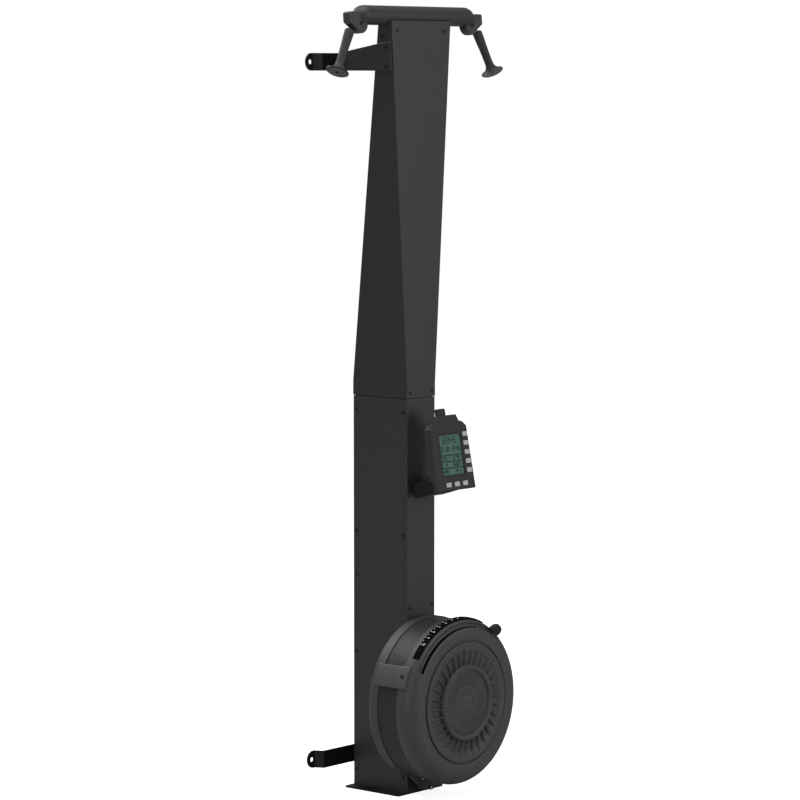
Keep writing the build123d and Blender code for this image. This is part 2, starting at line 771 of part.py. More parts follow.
with BuildPart() as fan_rear_shell:
    with BuildSketch(fan_plane(0)):
        with BuildLine():
            Polyline(
                (FRONT_Y, 30),
                (FRONT_Y, REAR_R - 8),
                (FRONT_Y - 4, REAR_R - 2),
                (FRONT_Y - 10, REAR_R),
                (FRONT_Y - BAND_START, REAR_R),
                (FRONT_Y - BAND_START, REAR_R - 3),
                (FRONT_Y - 10, REAR_R - 3),
                (FRONT_Y - 3, REAR_R - 10),
                (FRONT_Y - 3, 30),
                close=True,
            )
        make_face()
    revolve(axis=FAN_AXIS)
    # lower ear, screwed to the base of the column
    with BuildSketch(Plane.XZ.offset(-(FRONT_Y - 22))):
        with BuildLine():
            FilletPolyline(
                (-78, FAN_Z - REAR_R + 16),
                (-30, FAN_Z - REAR_R - 28),
                (30, FAN_Z - REAR_R - 28),
                (78, FAN_Z - REAR_R + 16),
                radius=6,
                close=True,
            )
        make_face()
        with Locations((0, FAN_Z)):
            Circle(REAR_R - 3, mode=Mode.SUBTRACT)
    extrude(amount=12)
save(fan_rear_shell, "fan_rear_shell")

with BuildPart() as perforated_band:
    with BuildSketch(Plane.XZ.offset(-(FRONT_Y - BAND_START))):
        with Locations((0, FAN_Z)):
            Circle(BAND_R)
            Circle(BAND_R - SHEET, mode=Mode.SUBTRACT)
    extrude(amount=BAND_END - BAND_START)
save(perforated_band, "perforated_band")

shoulder_y = FRONT_Y - SHOULDER_START
shoulder_r = SHELL_R - SHOULDER_R
slot_bend = radians(SLOT_BEND)
slot_point = Vector(
    shoulder_y - SHOULDER_R * sin(slot_bend),
    shoulder_r + SHOULDER_R * cos(slot_bend),
    0,
)

with BuildPart() as fan_front_shell:
    with BuildSketch(fan_plane(0)):
        with BuildLine():
            outer = CenterArc((shoulder_y, shoulder_r), SHOULDER_R, 90, 90)
            inner = CenterArc((shoulder_y, shoulder_r), SHOULDER_R - SHELL_WALL, 90, 90)
            Polyline(
                outer @ 1,
                (FRONT_Y - FACE_DEPTH, FACE_R),
                (FRONT_Y - FACE_DEPTH + SHELL_WALL, FACE_R),
                inner @ 1,
            )
            Polyline(
                inner @ 0,
                (FRONT_Y - TAPER_END, SHELL_R - SHELL_WALL),
                (FRONT_Y - BAND_END, SHELL_EDGE_R - SHELL_WALL),
                (FRONT_Y - BAND_END, SHELL_EDGE_R),
                (FRONT_Y - TAPER_END, SHELL_R),
                outer @ 0,
            )
        make_face()
    revolve(axis=FAN_AXIS)
    # slot along the shoulder for the damper lever
    with BuildSketch(fan_plane(SLOT_START)):
        with Locations(Location(slot_point, (0, 0, LEVER_BEND))):
            Rectangle(2 * LEVER_R + 3, 20)
    revolve(axis=FAN_AXIS, revolution_arc=SLOT_SWEEP, mode=Mode.SUBTRACT)
save(fan_front_shell, "fan_front_shell")

with BuildPart() as fan_face_grille:
    with BuildSketch(fan_plane(0)):
        with BuildLine():
            Polyline(
                (FRONT_Y - FACE_DEPTH, FACE_R - 0.8),
                (FRONT_Y - FACE_DEPTH - 2, VANE_OUT_R + 4),
                (FRONT_Y - FACE_DEPTH - 1, VANE_OUT_R),
                (FRONT_Y - 153, VANE_OUT_R),
                (FRONT_Y - 153, VANE_IN_R),
                (FRONT_Y - 168, VANE_IN_R - 2),
                (FRONT_Y - 170, HUB_RING_R),
                (FRONT_Y - 170, DISC_R + 3),
                (FRONT_Y - 165, DISC_R),
                (FRONT_Y - 165, 0),
                (FRONT_Y - 161, 0),
                (FRONT_Y - 161, DISC_R + 7),
                (FRONT_Y - 150, VANE_IN_R - 5),
                (FRONT_Y - 150, VANE_OUT_R + 2),
                (FRONT_Y - FACE_DEPTH + SHELL_WALL, VANE_OUT_R + 4),
                (FRONT_Y - FACE_DEPTH + SHELL_WALL, FACE_R - 0.8),
                close=True,
            )
        make_face()
    revolve(axis=FAN_AXIS)
    rib_length = VANE_OUT_R - VANE_IN_R + 2
    with BuildSketch(Plane.XZ.offset(-(FRONT_Y - 152))):
        with Locations((0, FAN_Z)):
            with PolarLocations((VANE_OUT_R + VANE_IN_R) / 2, VANE_COUNT):
                Rectangle(rib_length, 2.4)
    extrude(amount=10)
save(fan_face_grille, "fan_face_grille")

with BuildPart() as scale_strip:
    with BuildSketch(fan_plane(STRIP_START)):
        with BuildLine():
            under = CenterArc((shoulder_y, shoulder_r), SHOULDER_R + 0.1, 90, STRIP_BEND)
            over = CenterArc((shoulder_y, shoulder_r), SHOULDER_R + STRIP_THICK, 90, STRIP_BEND)
            Polyline(
                under @ 0,
                (FRONT_Y - STRIP_BACK, SHELL_R + 0.1),
                (FRONT_Y - STRIP_BACK, SHELL_R + STRIP_THICK),
                over @ 0,
            )
            Line(over @ 1, under @ 1)
        make_face()
    revolve(axis=FAN_AXIS, revolution_arc=STRIP_SWEEP)
save(scale_strip, "scale_strip")

with BuildPart() as band_clamps:
    for side in (-1, 1):
        with BuildSketch(fan_plane(side * CLAMP_ANGLE - CLAMP_SWEEP / 2)):
            with BuildLine():
                Polyline(
                    (FRONT_Y - CLAMP_BACK, REAR_R),
                    (FRONT_Y - BAND_END + 5, REAR_R),
                    (FRONT_Y - TAPER_END + 5, SHELL_R + 0.4),
                    (FRONT_Y - CLAMP_FRONT, SHELL_R + 0.4),
                    (FRONT_Y - CLAMP_FRONT, SHELL_R + CLAMP_THICK),
                    (FRONT_Y - TAPER_END + 7, SHELL_R + CLAMP_THICK),
                    (FRONT_Y - BAND_END + 7, REAR_R + CLAMP_THICK),
                    (FRONT_Y - CLAMP_BACK, REAR_R + CLAMP_THICK),
                    close=True,
                )
            make_face()
        revolve(axis=FAN_AXIS, revolution_arc=CLAMP_SWEEP)
save(band_clamps, "band_clamps")

# ---------------------------------------------------------------- damper

lever_bend = radians(LEVER_BEND)
lever_turn = fan_plane(LEVER_ANGLE)
lever_dir = Vector(-sin(lever_bend), cos(lever_bend), 0)
slot_global = lever_turn.from_local_coords(slot_point)
dir_global = lever_turn.from_local_coords(lever_dir) - lever_turn.origin
foot_global = slot_global - dir_global * LEVER_DEPTH

with BuildPart() as damper_ring:
    with BuildSketch(Plane.XZ.offset(-(FRONT_Y - RING_DEPTH))):
        with Locations((0, FAN_Z)):
            Circle(RING_OUT_R)
            Circle(RING_IN_R, mode=Mode.SUBTRACT)
    extrude(amount=RING_THICK)
    with BuildSketch(Plane(origin=foot_global, z_dir=dir_global)):
        Circle(LEVER_R)
    extrude(amount=LEVER_DEPTH + KNOB_LIFT + KNOB_CUT)
save(damper_ring, "damper_ring")

# half-moon knob: a disc with its inner side cut flat above the shell
with BuildPart() as damper_knob:
    with BuildSketch(Plane(origin=slot_global, x_dir=dir_global, z_dir=dir_global.cross(lever_turn.z_dir))):
        with Locations((KNOB_LIFT + KNOB_CUT, 0)):
            Circle(KNOB_R)
        with Locations((KNOB_LIFT, 0)):
            Rectangle(KNOB_R, 2 * KNOB_R, align=(Align.MAX, Align.CENTER), mode=Mode.SUBTRACT)
    extrude(amount=KNOB_THICK / 2, both=True)
    fillet(damper_knob.edges(), 2.5)
    with BuildSketch(Plane(origin=foot_global, z_dir=dir_global)):
        Circle(LEVER_R)
    extrude(amount=LEVER_DEPTH + KNOB_LIFT + KNOB_CUT, mode=Mode.SUBTRACT)
save(damper_knob, "damper_knob")

# ---------------------------------------------------------------- monitor

lean = radians(MONITOR_TILT)
face_plane = Plane(
    origin=(0, FRONT_Y - MONITOR_DEPTH, MONITOR_Z),
    x_dir=(1, 0, 0),
    z_dir=(0, -cos(lean), sin(lean)),
)
face_axis = Axis(face_plane.origin, face_plane.z_dir)
hinge = face_plane.from_local_coords(Vector(0, HINGE_UP, -HOUSING_BACK - HINGE_BACK))
hinge_plane = Plane(origin=hinge, x_dir=face_plane.z_dir, z_dir=(1, 0, 0))


def monitor_outline(low=0.0, corner=4.0):
    """Outline of the monitor above a height up its face; corner rounds its two lower corners."""
    low_x = 81 - 6 * low / 170
    with BuildSketch() as outline:
        with BuildLine():
            FilletPolyline(
                (-low_x, low),
                (low_x, low),
                (75, 170),
                (61, 182),
                (46, 186),
                (38, 203),
                (-38, 203),
                (-46, 186),
                (-61, 182),
                (-75, 170),
                radius=[corner] * 2 + [4.0] * 8,
                close=True,
            )
        make_face()
    return outline.sketch


with BuildPart() as monitor_bezel:
    with BuildSketch(face_plane.offset(-BEZEL_DEPTH)):
        add(monitor_outline())
    extrude(amount=BEZEL_DEPTH)
    fillet(monitor_bezel.faces().sort_by(face_axis)[-1].edges(), 2)
    with BuildSketch(face_plane.offset(-LCD_RECESS)):
        with Locations(LCD_CENTRE):
            Rectangle(*LCD_SIZE)
    extrude(amount=LCD_RECESS, mode=Mode.SUBTRACT)
    with BuildSketch(face_plane.offset(-POCKET_DEPTH)):
        for spot in BUTTON_SPOTS:
            with Locations(spot):
                RectangleRounded(BUTTON_SIZE[0] + 2 * BUTTON_GAP, BUTTON_SIZE[1] + 2 * BUTTON_GAP, 2.4)
    extrude(amount=POCKET_DEPTH, mode=Mode.SUBTRACT)
    # screw holes in the sloping shoulders
    for side in (-1, 1):
        shoulder = face_plane.from_local_coords(Vector(side * 62, 175, -BEZEL_DEPTH / 2))
        with BuildSketch(Plane(shoulder, z_dir=(side, 0, 0))):
            Circle(2.5)
        extrude(amount=20, mode=Mode.SUBTRACT)
save(monitor_bezel, "monitor_bezel")

with BuildPart() as lcd_panel:
    with BuildSketch(face_plane.offset(-LCD_RECESS)):
        with Locations(LCD_CENTRE):
            Rectangle(*LCD_SIZE)
    extrude(amount=LCD_RECESS - 1.5)
save(lcd_panel, "lcd_panel")

for number, spot in enumerate(BUTTON_SPOTS, start=1):
    with BuildPart() as button:
        with BuildSketch(face_plane.offset(-POCKET_DEPTH + 1.5)):
            with Locations(spot):
                RectangleRounded(*BUTTON_SIZE, 2)
        extrude(amount=POCKET_DEPTH)
        fillet(button.faces().sort_by(face_axis)[-1].edges(), 1)
    save(button, f"monitor_button_{number}")

with BuildPart() as monitor_housing:
    with BuildSketch(face_plane.offset(-HOUSING_BACK)):
        add(monitor_outline(REAR_LOW, 14.0))
        offset(amount=-1.5)
    extrude(amount=HOUSING_BACK - BEZEL_DEPTH)
    rear = monitor_housing.faces().sort_by(face_axis)[0]
    fillet(rear.edges(), 8)
    with BuildSketch(face_plane.offset(-HOUSING_BACK)):
        with BuildLine():
            FilletPolyline((-19, 150), (19, 150), (17, 222), (-17, 222), radius=5, close=True)
        make_face()
    extrude(amount=8)
    with BuildSketch(face_plane.offset(-BEZEL_DEPTH)):
        add(monitor_outline(REAR_LOW, 14.0))
        offset(amount=-5)
    extrude(amount=BEZEL_DEPTH - HOUSING_BACK + 3, mode=Mode.SUBTRACT)
    # hinge barrel and its neck
    with BuildSketch(hinge_plane.offset(-BARREL_HALF)):
        Circle(BARREL_R)
        with Locations((HINGE_BACK / 2, 0)):
            Rectangle(HINGE_BACK, 2 * BARREL_R)
    extrude(amount=2 * BARREL_HALF)
    with BuildSketch(hinge_plane.offset(-BARREL_HALF)):
        Circle(PIN_R + RUNNING_GAP)
    extrude(amount=2 * BARREL_HALF, mode=Mode.SUBTRACT)
save(monitor_housing, "monitor_housing")

with BuildPart() as monitor_hinge_pin:
    with BuildSketch(hinge_plane.offset(-CHEEK_HALF)):
        Circle(PIN_R)
    extrude(amount=2 * CHEEK_HALF)
    for side in (-1, 1):
        with BuildSketch(hinge_plane.offset(side * CHEEK_HALF)):
            Circle(PIN_R + 2.5)
        extrude(amount=side * 2.5)
save(monitor_hinge_pin, "monitor_hinge_pin")

# Tub-shaped arm on a neck from the column; its two cheeks hold the hinge pin.
arm_back = FRONT_Y - ARM_BACK
arm_bend = FRONT_Y - ARM_BEND
arm_nose = hinge.Y - CHEEK_NOSE_R

with BuildPart() as monitor_bracket:
    with BuildSketch(Plane.YZ.offset(-CHEEK_HALF)):
        with BuildLine():
            FilletPolyline(
                (arm_back, hinge.Z - 13),
                (arm_back, ARM_LOW_Z),
                (arm_bend, ARM_LOW_Z),
                (arm_nose + 4, ARM_LOW_Z + 16),
                (arm_nose, hinge.Z),
                (hinge.Y, hinge.Z),
                radius=4,
                close=True,
            )
        make_face()
        with Locations((hinge.Y, hinge.Z)):
            Circle(CHEEK_NOSE_R)
    extrude(amount=2 * CHEEK_HALF)
    # round its two corners next to the column
    with BuildSketch(Plane.XY.offset(ARM_LOW_Z - 1)):
        with Locations((0, arm_back - COLUMN_DEPTH / 2)):
            RectangleRounded(2 * CHEEK_HALF, COLUMN_DEPTH, ARM_CORNER)
    extrude(amount=hinge.Z - ARM_LOW_Z + 20, mode=Mode.INTERSECT)
    with BuildSketch(Plane.YZ.offset(CHEEK_THICK - CHEEK_HALF)):
        with BuildLine():
            Polyline(
                (arm_back - ARM_CORNER, hinge.Z + 30),
                (arm_back - ARM_CORNER, ARM_LOW_Z + CHEEK_THICK),
                (arm_bend, ARM_LOW_Z + CHEEK_THICK),
                (hinge.Y + 12, ARM_LOW_Z + 13),
                (hinge.Y + 12, ARM_LOW_Z - 10),
                (hinge.Y - 30, ARM_LOW_Z - 10),
                (hinge.Y - 30, hinge.Z + 30),
                close=True,
            )
        make_face()
    extrude(amount=2 * (CHEEK_HALF - CHEEK_THICK), mode=Mode.SUBTRACT)
    with BuildSketch(Plane.YZ.offset(-NECK_HALF)):
        with Locations((FRONT_Y - (ARM_BACK + 2) / 2, (ARM_LOW_Z + hinge.Z - 13) / 2)):
            Rectangle(ARM_BACK + 2, hinge.Z - 21 - ARM_LOW_Z)
    extrude(amount=2 * NECK_HALF)
    with BuildSketch(hinge_plane.offset(-CHEEK_HALF)):
        Circle(PIN_R)
    extrude(amount=2 * CHEEK_HALF, mode=Mode.SUBTRACT)
save(monitor_bracket, "monitor_bracket")

# ---------------------------------------------------------------- fasteners


def pan_head(plane, points):
    """Pan heads with a hex socket, their undersides on the plane."""
    with BuildPart(mode=Mode.PRIVATE) as heads:
        with BuildSketch(plane):
            with Locations(*points):
                Circle(SCREW_R)
        extrude(amount=SCREW_HEIGHT)
        fillet(heads.faces().sort_by(Axis(plane.origin, plane.z_dir))[-1].edges(), 0.8)
        with BuildSketch(plane.offset(SCREW_HEIGHT)):
            with Locations(*points):
                RegularPolygon(1.6, 6)
        extrude(amount=-1.2, mode=Mode.SUBTRACT)
    return heads.part


front_screws = [(x * side, z) for x, z in ((48, 510), (45, 1095), (97, 2064)) for side in (-1, 1)]
side_rows = [(FRONT_Y + 15.5, z) for z in (47, 376, 708, 1042)]
side_rows += [(BACK_Y - 7.5 - HEM_WIDTH, z) for z in (47, 376, 590, 708, 1042)]

with BuildPart() as panel_screws:
    add(pan_head(Plane.XZ.offset(-FRONT_Y), front_screws))
    for side in (-1, 1):
        wall = Plane(origin=(side * COLUMN_WIDTH / 2, 0, 0), x_dir=(0, side, 0), z_dir=(side, 0, 0))
        add(pan_head(wall, [(side * y, z) for y, z in side_rows]))
        add(pan_head(side_plane(side, 2050), [(side * (FRONT_Y + 35.5), 0)]))
        gusset = side_plane(side, UPPER_BRACKET_Z).offset(GUSSET_THICK)
        add(pan_head(gusset, [(side * (FRONT_Y + 22), y) for y in (-14, 39)]))
        clamp = Plane(origin=(0, 0, FAN_Z), x_dir=(0, 1, 0), z_dir=fan_plane(side * CLAMP_ANGLE).y_dir)
        add(pan_head(clamp.offset(SHELL_R + CLAMP_THICK), [(FRONT_Y - 112, 0)]))
    add(pan_head(Plane.XZ.offset(-FRONT_Y + 34), [(-3, FAN_Z - REAR_R - 24)]))
save(panel_screws, "panel_screws")
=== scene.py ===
import json
from math import cos, degrees, hypot, pi, radians, sin

import bmesh
import bpy
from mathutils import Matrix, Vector


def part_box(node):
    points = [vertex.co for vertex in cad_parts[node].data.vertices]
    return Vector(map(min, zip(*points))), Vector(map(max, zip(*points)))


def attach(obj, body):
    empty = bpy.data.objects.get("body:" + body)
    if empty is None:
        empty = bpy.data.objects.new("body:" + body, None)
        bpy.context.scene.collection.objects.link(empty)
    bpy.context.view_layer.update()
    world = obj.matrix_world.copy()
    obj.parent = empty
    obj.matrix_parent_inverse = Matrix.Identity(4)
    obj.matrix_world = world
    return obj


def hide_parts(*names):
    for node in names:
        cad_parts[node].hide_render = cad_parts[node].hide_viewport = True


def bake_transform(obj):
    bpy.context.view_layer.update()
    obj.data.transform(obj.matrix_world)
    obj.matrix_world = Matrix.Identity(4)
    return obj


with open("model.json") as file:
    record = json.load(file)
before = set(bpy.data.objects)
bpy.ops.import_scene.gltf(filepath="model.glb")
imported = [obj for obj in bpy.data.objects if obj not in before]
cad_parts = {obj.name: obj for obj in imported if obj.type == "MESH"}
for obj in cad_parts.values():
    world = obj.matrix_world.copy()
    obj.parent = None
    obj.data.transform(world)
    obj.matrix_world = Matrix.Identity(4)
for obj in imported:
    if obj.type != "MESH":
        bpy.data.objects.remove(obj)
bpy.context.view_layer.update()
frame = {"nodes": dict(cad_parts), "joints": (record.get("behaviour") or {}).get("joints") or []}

# Looks of a wall-mounted ski ergometer. Metres, +Z up, the user stands at -Y, the wall is at +Y.

MM = 0.001
SIDES = (("left", -1), ("right", 1))
JOINTS = {joint["name"]: joint for joint in frame["joints"]}
NODES = frame["nodes"]

FRONT_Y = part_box("front_channel")[0].y
FAN = Vector(JOINTS["fan_spin"]["pos_m"])


# ---------------------------------------------------------------- mesh helpers


def add_piece(name, verts, faces, material, smooth=True):
    mesh = bpy.data.meshes.new(name)
    mesh.from_pydata([tuple(v) for v in verts], [], faces)
    built = bmesh.new()
    built.from_mesh(mesh)
    bmesh.ops.recalc_face_normals(built, faces=built.faces)
    built.to_mesh(mesh)
    built.free()
    mesh.materials.append(material)
    for polygon in mesh.polygons:
        polygon.use_smooth = smooth
    piece = bpy.data.objects.new(name, mesh)
    bpy.context.scene.collection.objects.link(piece)
    return piece


def sharpen(piece, angle):
    """Keeps edges sharper than the angle crisp under smooth shading."""
    bpy.context.view_layer.objects.active = piece
    piece.select_set(True)
    bpy.ops.object.shade_smooth_by_angle(angle=radians(angle))
    piece.select_set(False)


def ring_faces(rows, columns, closed=True):
    """Quads between successive rows of points; closed rows run on from their last point."""
    faces = []
    for i in range(rows - 1):
        low, high = i * columns, (i + 1) * columns
        for j in range(columns if closed else columns - 1):
            k = (j + 1) % columns
            faces.append((low + j, low + k, high + k, high + j))
    return faces


def closing_faces(rows, columns):
    """Quads from the last row of points back to the first."""
    last = (rows - 1) * columns
    return [(last + j, last + (j + 1) % columns, (j + 1) % columns, j) for j in range(columns)]


def smooth_step(low, high, x):
    t = min(1.0, max(0.0, (x - low) / (high - low)))
    return t * t * (3 - 2 * t)


def fan_point(radius, forward, angle):
    """Point of the cage: radius and distance in front of the column (mm), degrees from the top."""
    a = radians(angle)
    return Vector((radius * MM * sin(a), FRONT_Y - forward * MM, FAN.z + radius * MM * cos(a)))


def column_angle(j, columns):
    """Angle in degrees of a column of points that go once round the cage."""
    return -180 + 360 * j / columns


# ---------------------------------------------------------------- materials

CLOUD_SCALE = 9.0
PATCH_SCALE = 45.0
GLOSS_SPREAD = 0.05
GRAIN_DEPTH = 0.0002


def shade(name, color, rough=0.5, metallic=0.0, grain=0.0, grain_size=0.0008, mottle=0.08,
          coat=0.0, gloss_level=0.3):
    """Painted or moulded surface: soft colour clouds, uneven gloss and a fine grain."""
    material = bpy.data.materials.new(name)
    material.use_nodes = True
    nodes = material.node_tree.nodes
    links = material.node_tree.links
    surface = nodes["Principled BSDF"]
    place = nodes.new("ShaderNodeTexCoord")

    clouds = nodes.new("ShaderNodeTexNoise")
    clouds.inputs["Scale"].default_value = CLOUD_SCALE
    clouds.inputs["Detail"].default_value = 3.0
    links.new(place.outputs["Object"], clouds.inputs["Vector"])
    tint = nodes.new("ShaderNodeMix")
    tint.data_type = "RGBA"
    tint.inputs["A"].default_value = (*[c * (1 - mottle) for c in color], 1)
    tint.inputs["B"].default_value = (*[c * (1 + mottle) for c in color], 1)
    links.new(clouds.outputs["Fac"], tint.inputs["Factor"])
    links.new(tint.outputs["Result"], surface.inputs["Base Color"])

    gloss = nodes.new("ShaderNodeMapRange")
    gloss.inputs["To Min"].default_value = rough - GLOSS_SPREAD
    gloss.inputs["To Max"].default_value = rough + GLOSS_SPREAD
    patches = nodes.new("ShaderNodeTexNoise")
    patches.inputs["Scale"].default_value = PATCH_SCALE
    patches.inputs["Detail"].default_value = 2.0
    links.new(place.outputs["Object"], patches.inputs["Vector"])
    links.new(patches.outputs["Fac"], gloss.inputs["Value"])
    links.new(gloss.outputs["Result"], surface.inputs["Roughness"])

    surface.inputs["Metallic"].default_value = metallic
    surface.inputs["Specular IOR Level"].default_value = gloss_level
    surface.inputs["Coat Weight"].default_value = coat
    if grain:
        fine = nodes.new("ShaderNodeTexNoise")
        fine.inputs["Scale"].default_value = 1.0 / grain_size
        fine.inputs["Detail"].default_value = 1.0
        links.new(place.outputs["Object"], fine.inputs["Vector"])
        bump = nodes.new("ShaderNodeBump")
        bump.inputs["Strength"].default_value = grain
        bump.inputs["Distance"].default_value = GRAIN_DEPTH
        links.new(fine.outputs["Fac"], bump.inputs["Height"])
        links.new(bump.outputs["Normal"], surface.inputs["Normal"])
    return material


POWDER = {"grain": 0.35, "grain_size": 0.0012}

paint = shade("column_powder_coat", (0.022, 0.022, 0.0222), rough=0.46, **POWDER)
# Painted shade: a darker copy of the column's powder coat for the upper back shell and the gussets,
# whose sides fall in shade.
paint_shaded_copy = shade("powder_coat_painted_shade", (0.018, 0.018, 0.0182), rough=0.46, **POWDER)
paint_black = shade("bracket_powder_coat", (0.004, 0.004, 0.0042), rough=0.5, gloss_level=0.18,
                    **POWDER)
shell_plastic = shade("cage_plastic", (0.036, 0.0363, 0.0370), rough=0.52, grain=0.5)
band_steel = shade("band_sheet", (0.034, 0.0343, 0.0348), rough=0.45, grain=0.2)
clamp_plastic = shade("clamp_plastic", (0.048, 0.0484, 0.0492), rough=0.5, grain=0.5)
black_plastic = shade("black_plastic", (0.003, 0.003, 0.0031), rough=0.5, grain=0.4)
strip_black = shade("scale_strip_black", (0.0015, 0.0015, 0.0016), rough=0.85, gloss_level=0.05)
head_plastic = shade("head_plastic", (0.028, 0.0283, 0.0288), rough=0.48, grain=0.5)
grip_rubber = shade("grip_rubber", (0.024, 0.0242, 0.0247), rough=0.62, grain=0.8,
                    grain_size=0.0006)
cap_plastic = shade("handle_cap_plastic", (0.012, 0.012, 0.013), rough=0.4, grain=0.3)
cord_weave = shade("cord_weave", (0.025, 0.025, 0.026), rough=0.8, grain=0.8, grain_size=0.0005)
steel = shade("turned_steel", (0.42, 0.42, 0.43), rough=0.32, metallic=1.0)
screw_black = shade("blackened_screw", (0.02, 0.02, 0.021), rough=0.35, metallic=0.6)
screw_bright = shade("zinc_screw", (0.6, 0.6, 0.6), rough=0.3, metallic=1.0)
flywheel_alloy = shade("flywheel_alloy", (0.045, 0.045, 0.047), rough=0.5, metallic=0.6)
nylon = shade("pulley_nylon", (0.05, 0.05, 0.05), rough=0.5)
monitor_plastic = shade("monitor_plastic", (0.024, 0.0243, 0.0250), rough=0.6, grain=0.5,
                        gloss_level=0.18)
lcd_glass = shade("lcd_panel", (0.042, 0.108, 0.090), rough=0.25, coat=0.6)
key_rubber = shade("key_rubber", (0.36, 0.36, 0.39), rough=0.55, grain=0.3)
print_white = shade("printed_white", (0.75, 0.75, 0.74), rough=0.6)
lcd_ink = shade("lcd_segment", (0.003, 0.010, 0.008), rough=0.5, gloss_level=0.1)
key_ink = shade("key_print", (0.12, 0.12, 0.13), rough=0.6)

CAD_MATERIALS = {
    paint: ("front_channel", "back_channel", "side_cover_left", "side_cover_right",
            "upper_front_cover", "crosshead_tube"),
    paint_shaded_copy: ("upper_back_shell", "bracket_gussets"),
    paint_black: ("base_plate", "lower_wall_bracket", "upper_wall_bracket", "crosshead_saddles",
                  "monitor_bracket"),
    shell_plastic: ("fan_rear_shell", "fan_front_shell", "fan_face_grille", "band_clamps"),
    band_steel: ("perforated_band",),
    black_plastic: ("damper_ring", "damper_knob"),
    strip_black: ("scale_strip",),
    head_plastic: ("head_front_shell_left", "head_back_shell_left", "head_front_shell_right",
                   "head_back_shell_right"),
    grip_rubber: ("handle_grip_left", "handle_grip_right"),
    cap_plastic: ("handle_core_left", "handle_core_right"),
    cord_weave: ("drive_cords", "shock_cords", "cord_end_left", "cord_end_right"),
    steel: ("idler_axles", "shaft_bearings", "fan_shaft"),
    screw_black: ("panel_screws", "monitor_hinge_pin", "head_axle_left", "head_axle_right"),
    flywheel_alloy: ("flywheel",),
    nylon: ("tube_bushings", "shock_cord_guides", "head_pulley_left", "head_pulley_right",
            "idler_pulley_left", "idler_pulley_right", "drive_pulley_left", "drive_pulley_right"),
    monitor_plastic: ("monitor_bezel", "monitor_housing"),
    lcd_glass: ("lcd_panel",),
    key_rubber: tuple(f"monitor_button_{i}" for i in range(1, 9)),
}
for material, names in CAD_MATERIALS.items():
    for name in names:
        for index in range(len(NODES[name].data.materials)):
            NODES[name].data.materials[index] = material


# ---------------------------------------------------------------- fan cage

SHELL_R = 226.0
SHELL_EDGE_R = 221.5
SHOULDER = (126.0, 192.0)
SHOULDER_R = 34.0
SHELL_WALL = 3.0
SHELL_COLUMNS = 720
SLOT_BEND = 63.0
SLIT_BENDS = (62.5, 73.2)
SLIT_FROM, SLIT_TO = -60.5, 43.0
TROUGH_SHIFT = -4.0
TROUGH_HALF = 6.8
TROUGH_DEPTH = 6.0
TROUGH_EASE = 1.0
TROUGH_END = 1.5
TROUGH_R = 210


def trough_depth(along, angle):
    """Depth of the lever's trough at a distance along the shoulder from the slot, in mm."""
    middle = (SLIT_FROM + SLIT_TO) / 2
    half = (SLIT_TO - SLIT_FROM) / 2 - TROUGH_END
    past = max(0.0, abs(angle - middle) - half) * radians(TROUGH_R)
    away = hypot(along - TROUGH_SHIFT, past)
    flank = smooth_step(TROUGH_HALF - TROUGH_EASE, TROUGH_HALF + TROUGH_EASE, away)
    return TROUGH_DEPTH * (1 - flank)


def make_front_shell():
    columns = SHELL_COLUMNS
    near, far = SLIT_BENDS
    # degrees round the shoulder, close together at the trough and none within the slit
    bends = [3.0 * k for k in range(15)] + [44.0 + 1.0 * k for k in range(32)]
    bends += [78.0, 81.0, 84.0, 87.0, 90.0]
    bends = [b for b in bends if not near - 0.4 < b < far + 0.4] + [near, far]
    bends.sort()
    # rows are (forward, radius, bend): a row with a bend lies on the shoulder's arc
    outer = [(99.6, 219.4, None), (99.4, 220.8, None), (99.9, 221.4, None), (101.0, 221.9, None)]
    outer += [(109.0, 224.0, None), (116.0, 225.7, None), (118.5, SHELL_R, None)]
    outer += [(*SHOULDER, bend) for bend in bends]
    outer += [(160.0, 180.0, None), (160.0, 171.5, None), (159.7, 169.3, None)]
    outer += [(158.9, 167.9, None), (157.6, 167.4, None)]
    inner = [(157.0, 167.6, None)]
    inner += [(*SHOULDER, -bend) for bend in reversed(bends) if bend > 0.1]
    inner += [(117.0, SHELL_R - SHELL_WALL, None), (100.2, SHELL_EDGE_R - SHELL_WALL, None)]
    rows = outer + inner
    verts = []
    for forward, radius, bend in rows:
        for j in range(columns):
            angle = column_angle(j, columns)
            if bend is None:
                verts.append(fan_point(radius, forward, angle))
                continue
            turn = radians(abs(bend))
            along = (abs(bend) - SLOT_BEND) * radians(1) * SHOULDER_R
            reach = SHOULDER_R - trough_depth(along, angle) - (SHELL_WALL if bend < 0 else 0)
            verts.append(fan_point(radius + reach * cos(turn), forward + reach * sin(turn), angle))
    # the slit is left open between two rows, over the lever's travel
    first = round((SLIT_FROM + 180) * columns / 360)
    last = round((SLIT_TO + 180) * columns / 360)
    bend_rows = [row[2] for row in rows]
    out_near, out_far, in_far, in_near = (bend_rows.index(b) for b in (near, far, -far, -near))
    faces = [f for f in ring_faces(len(rows), columns)
             if not (f[0] // columns in (out_near, in_far) and first <= f[0] % columns < last)]
    faces += closing_faces(len(rows), columns)
    # the slit's two long walls, then its two ends
    for outside, inside in ((out_near, in_near), (out_far, in_far)):
        for j in range(first, last):
            faces.append((outside * columns + j, outside * columns + j + 1,
                          inside * columns + j + 1, inside * columns + j))
    for j in (first, last):
        faces.append(tuple(row * columns + j for row in (out_near, out_far, in_far, in_near)))
    shell = add_piece("cage_front_shell", verts, faces, shell_plastic)
    sharpen(shell, 35)
    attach(shell, "frame")
    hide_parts("fan_front_shell")


make_front_shell()

# Face grille: a moulded dish with a ring of pockets, a raised ring and a finely ribbed disc.
GRILLE_COLUMNS = 768
POCKETS = 32
DISC_RIBS = 48
RIM_IN = 149
POCKET_IN = 103
RING_IN = 88
DISC_IN = 47
CENTRE_R = 22
RING_HEIGHT = 165.0
DISC_HEIGHT = 163.6
CAP_COLUMNS = 48


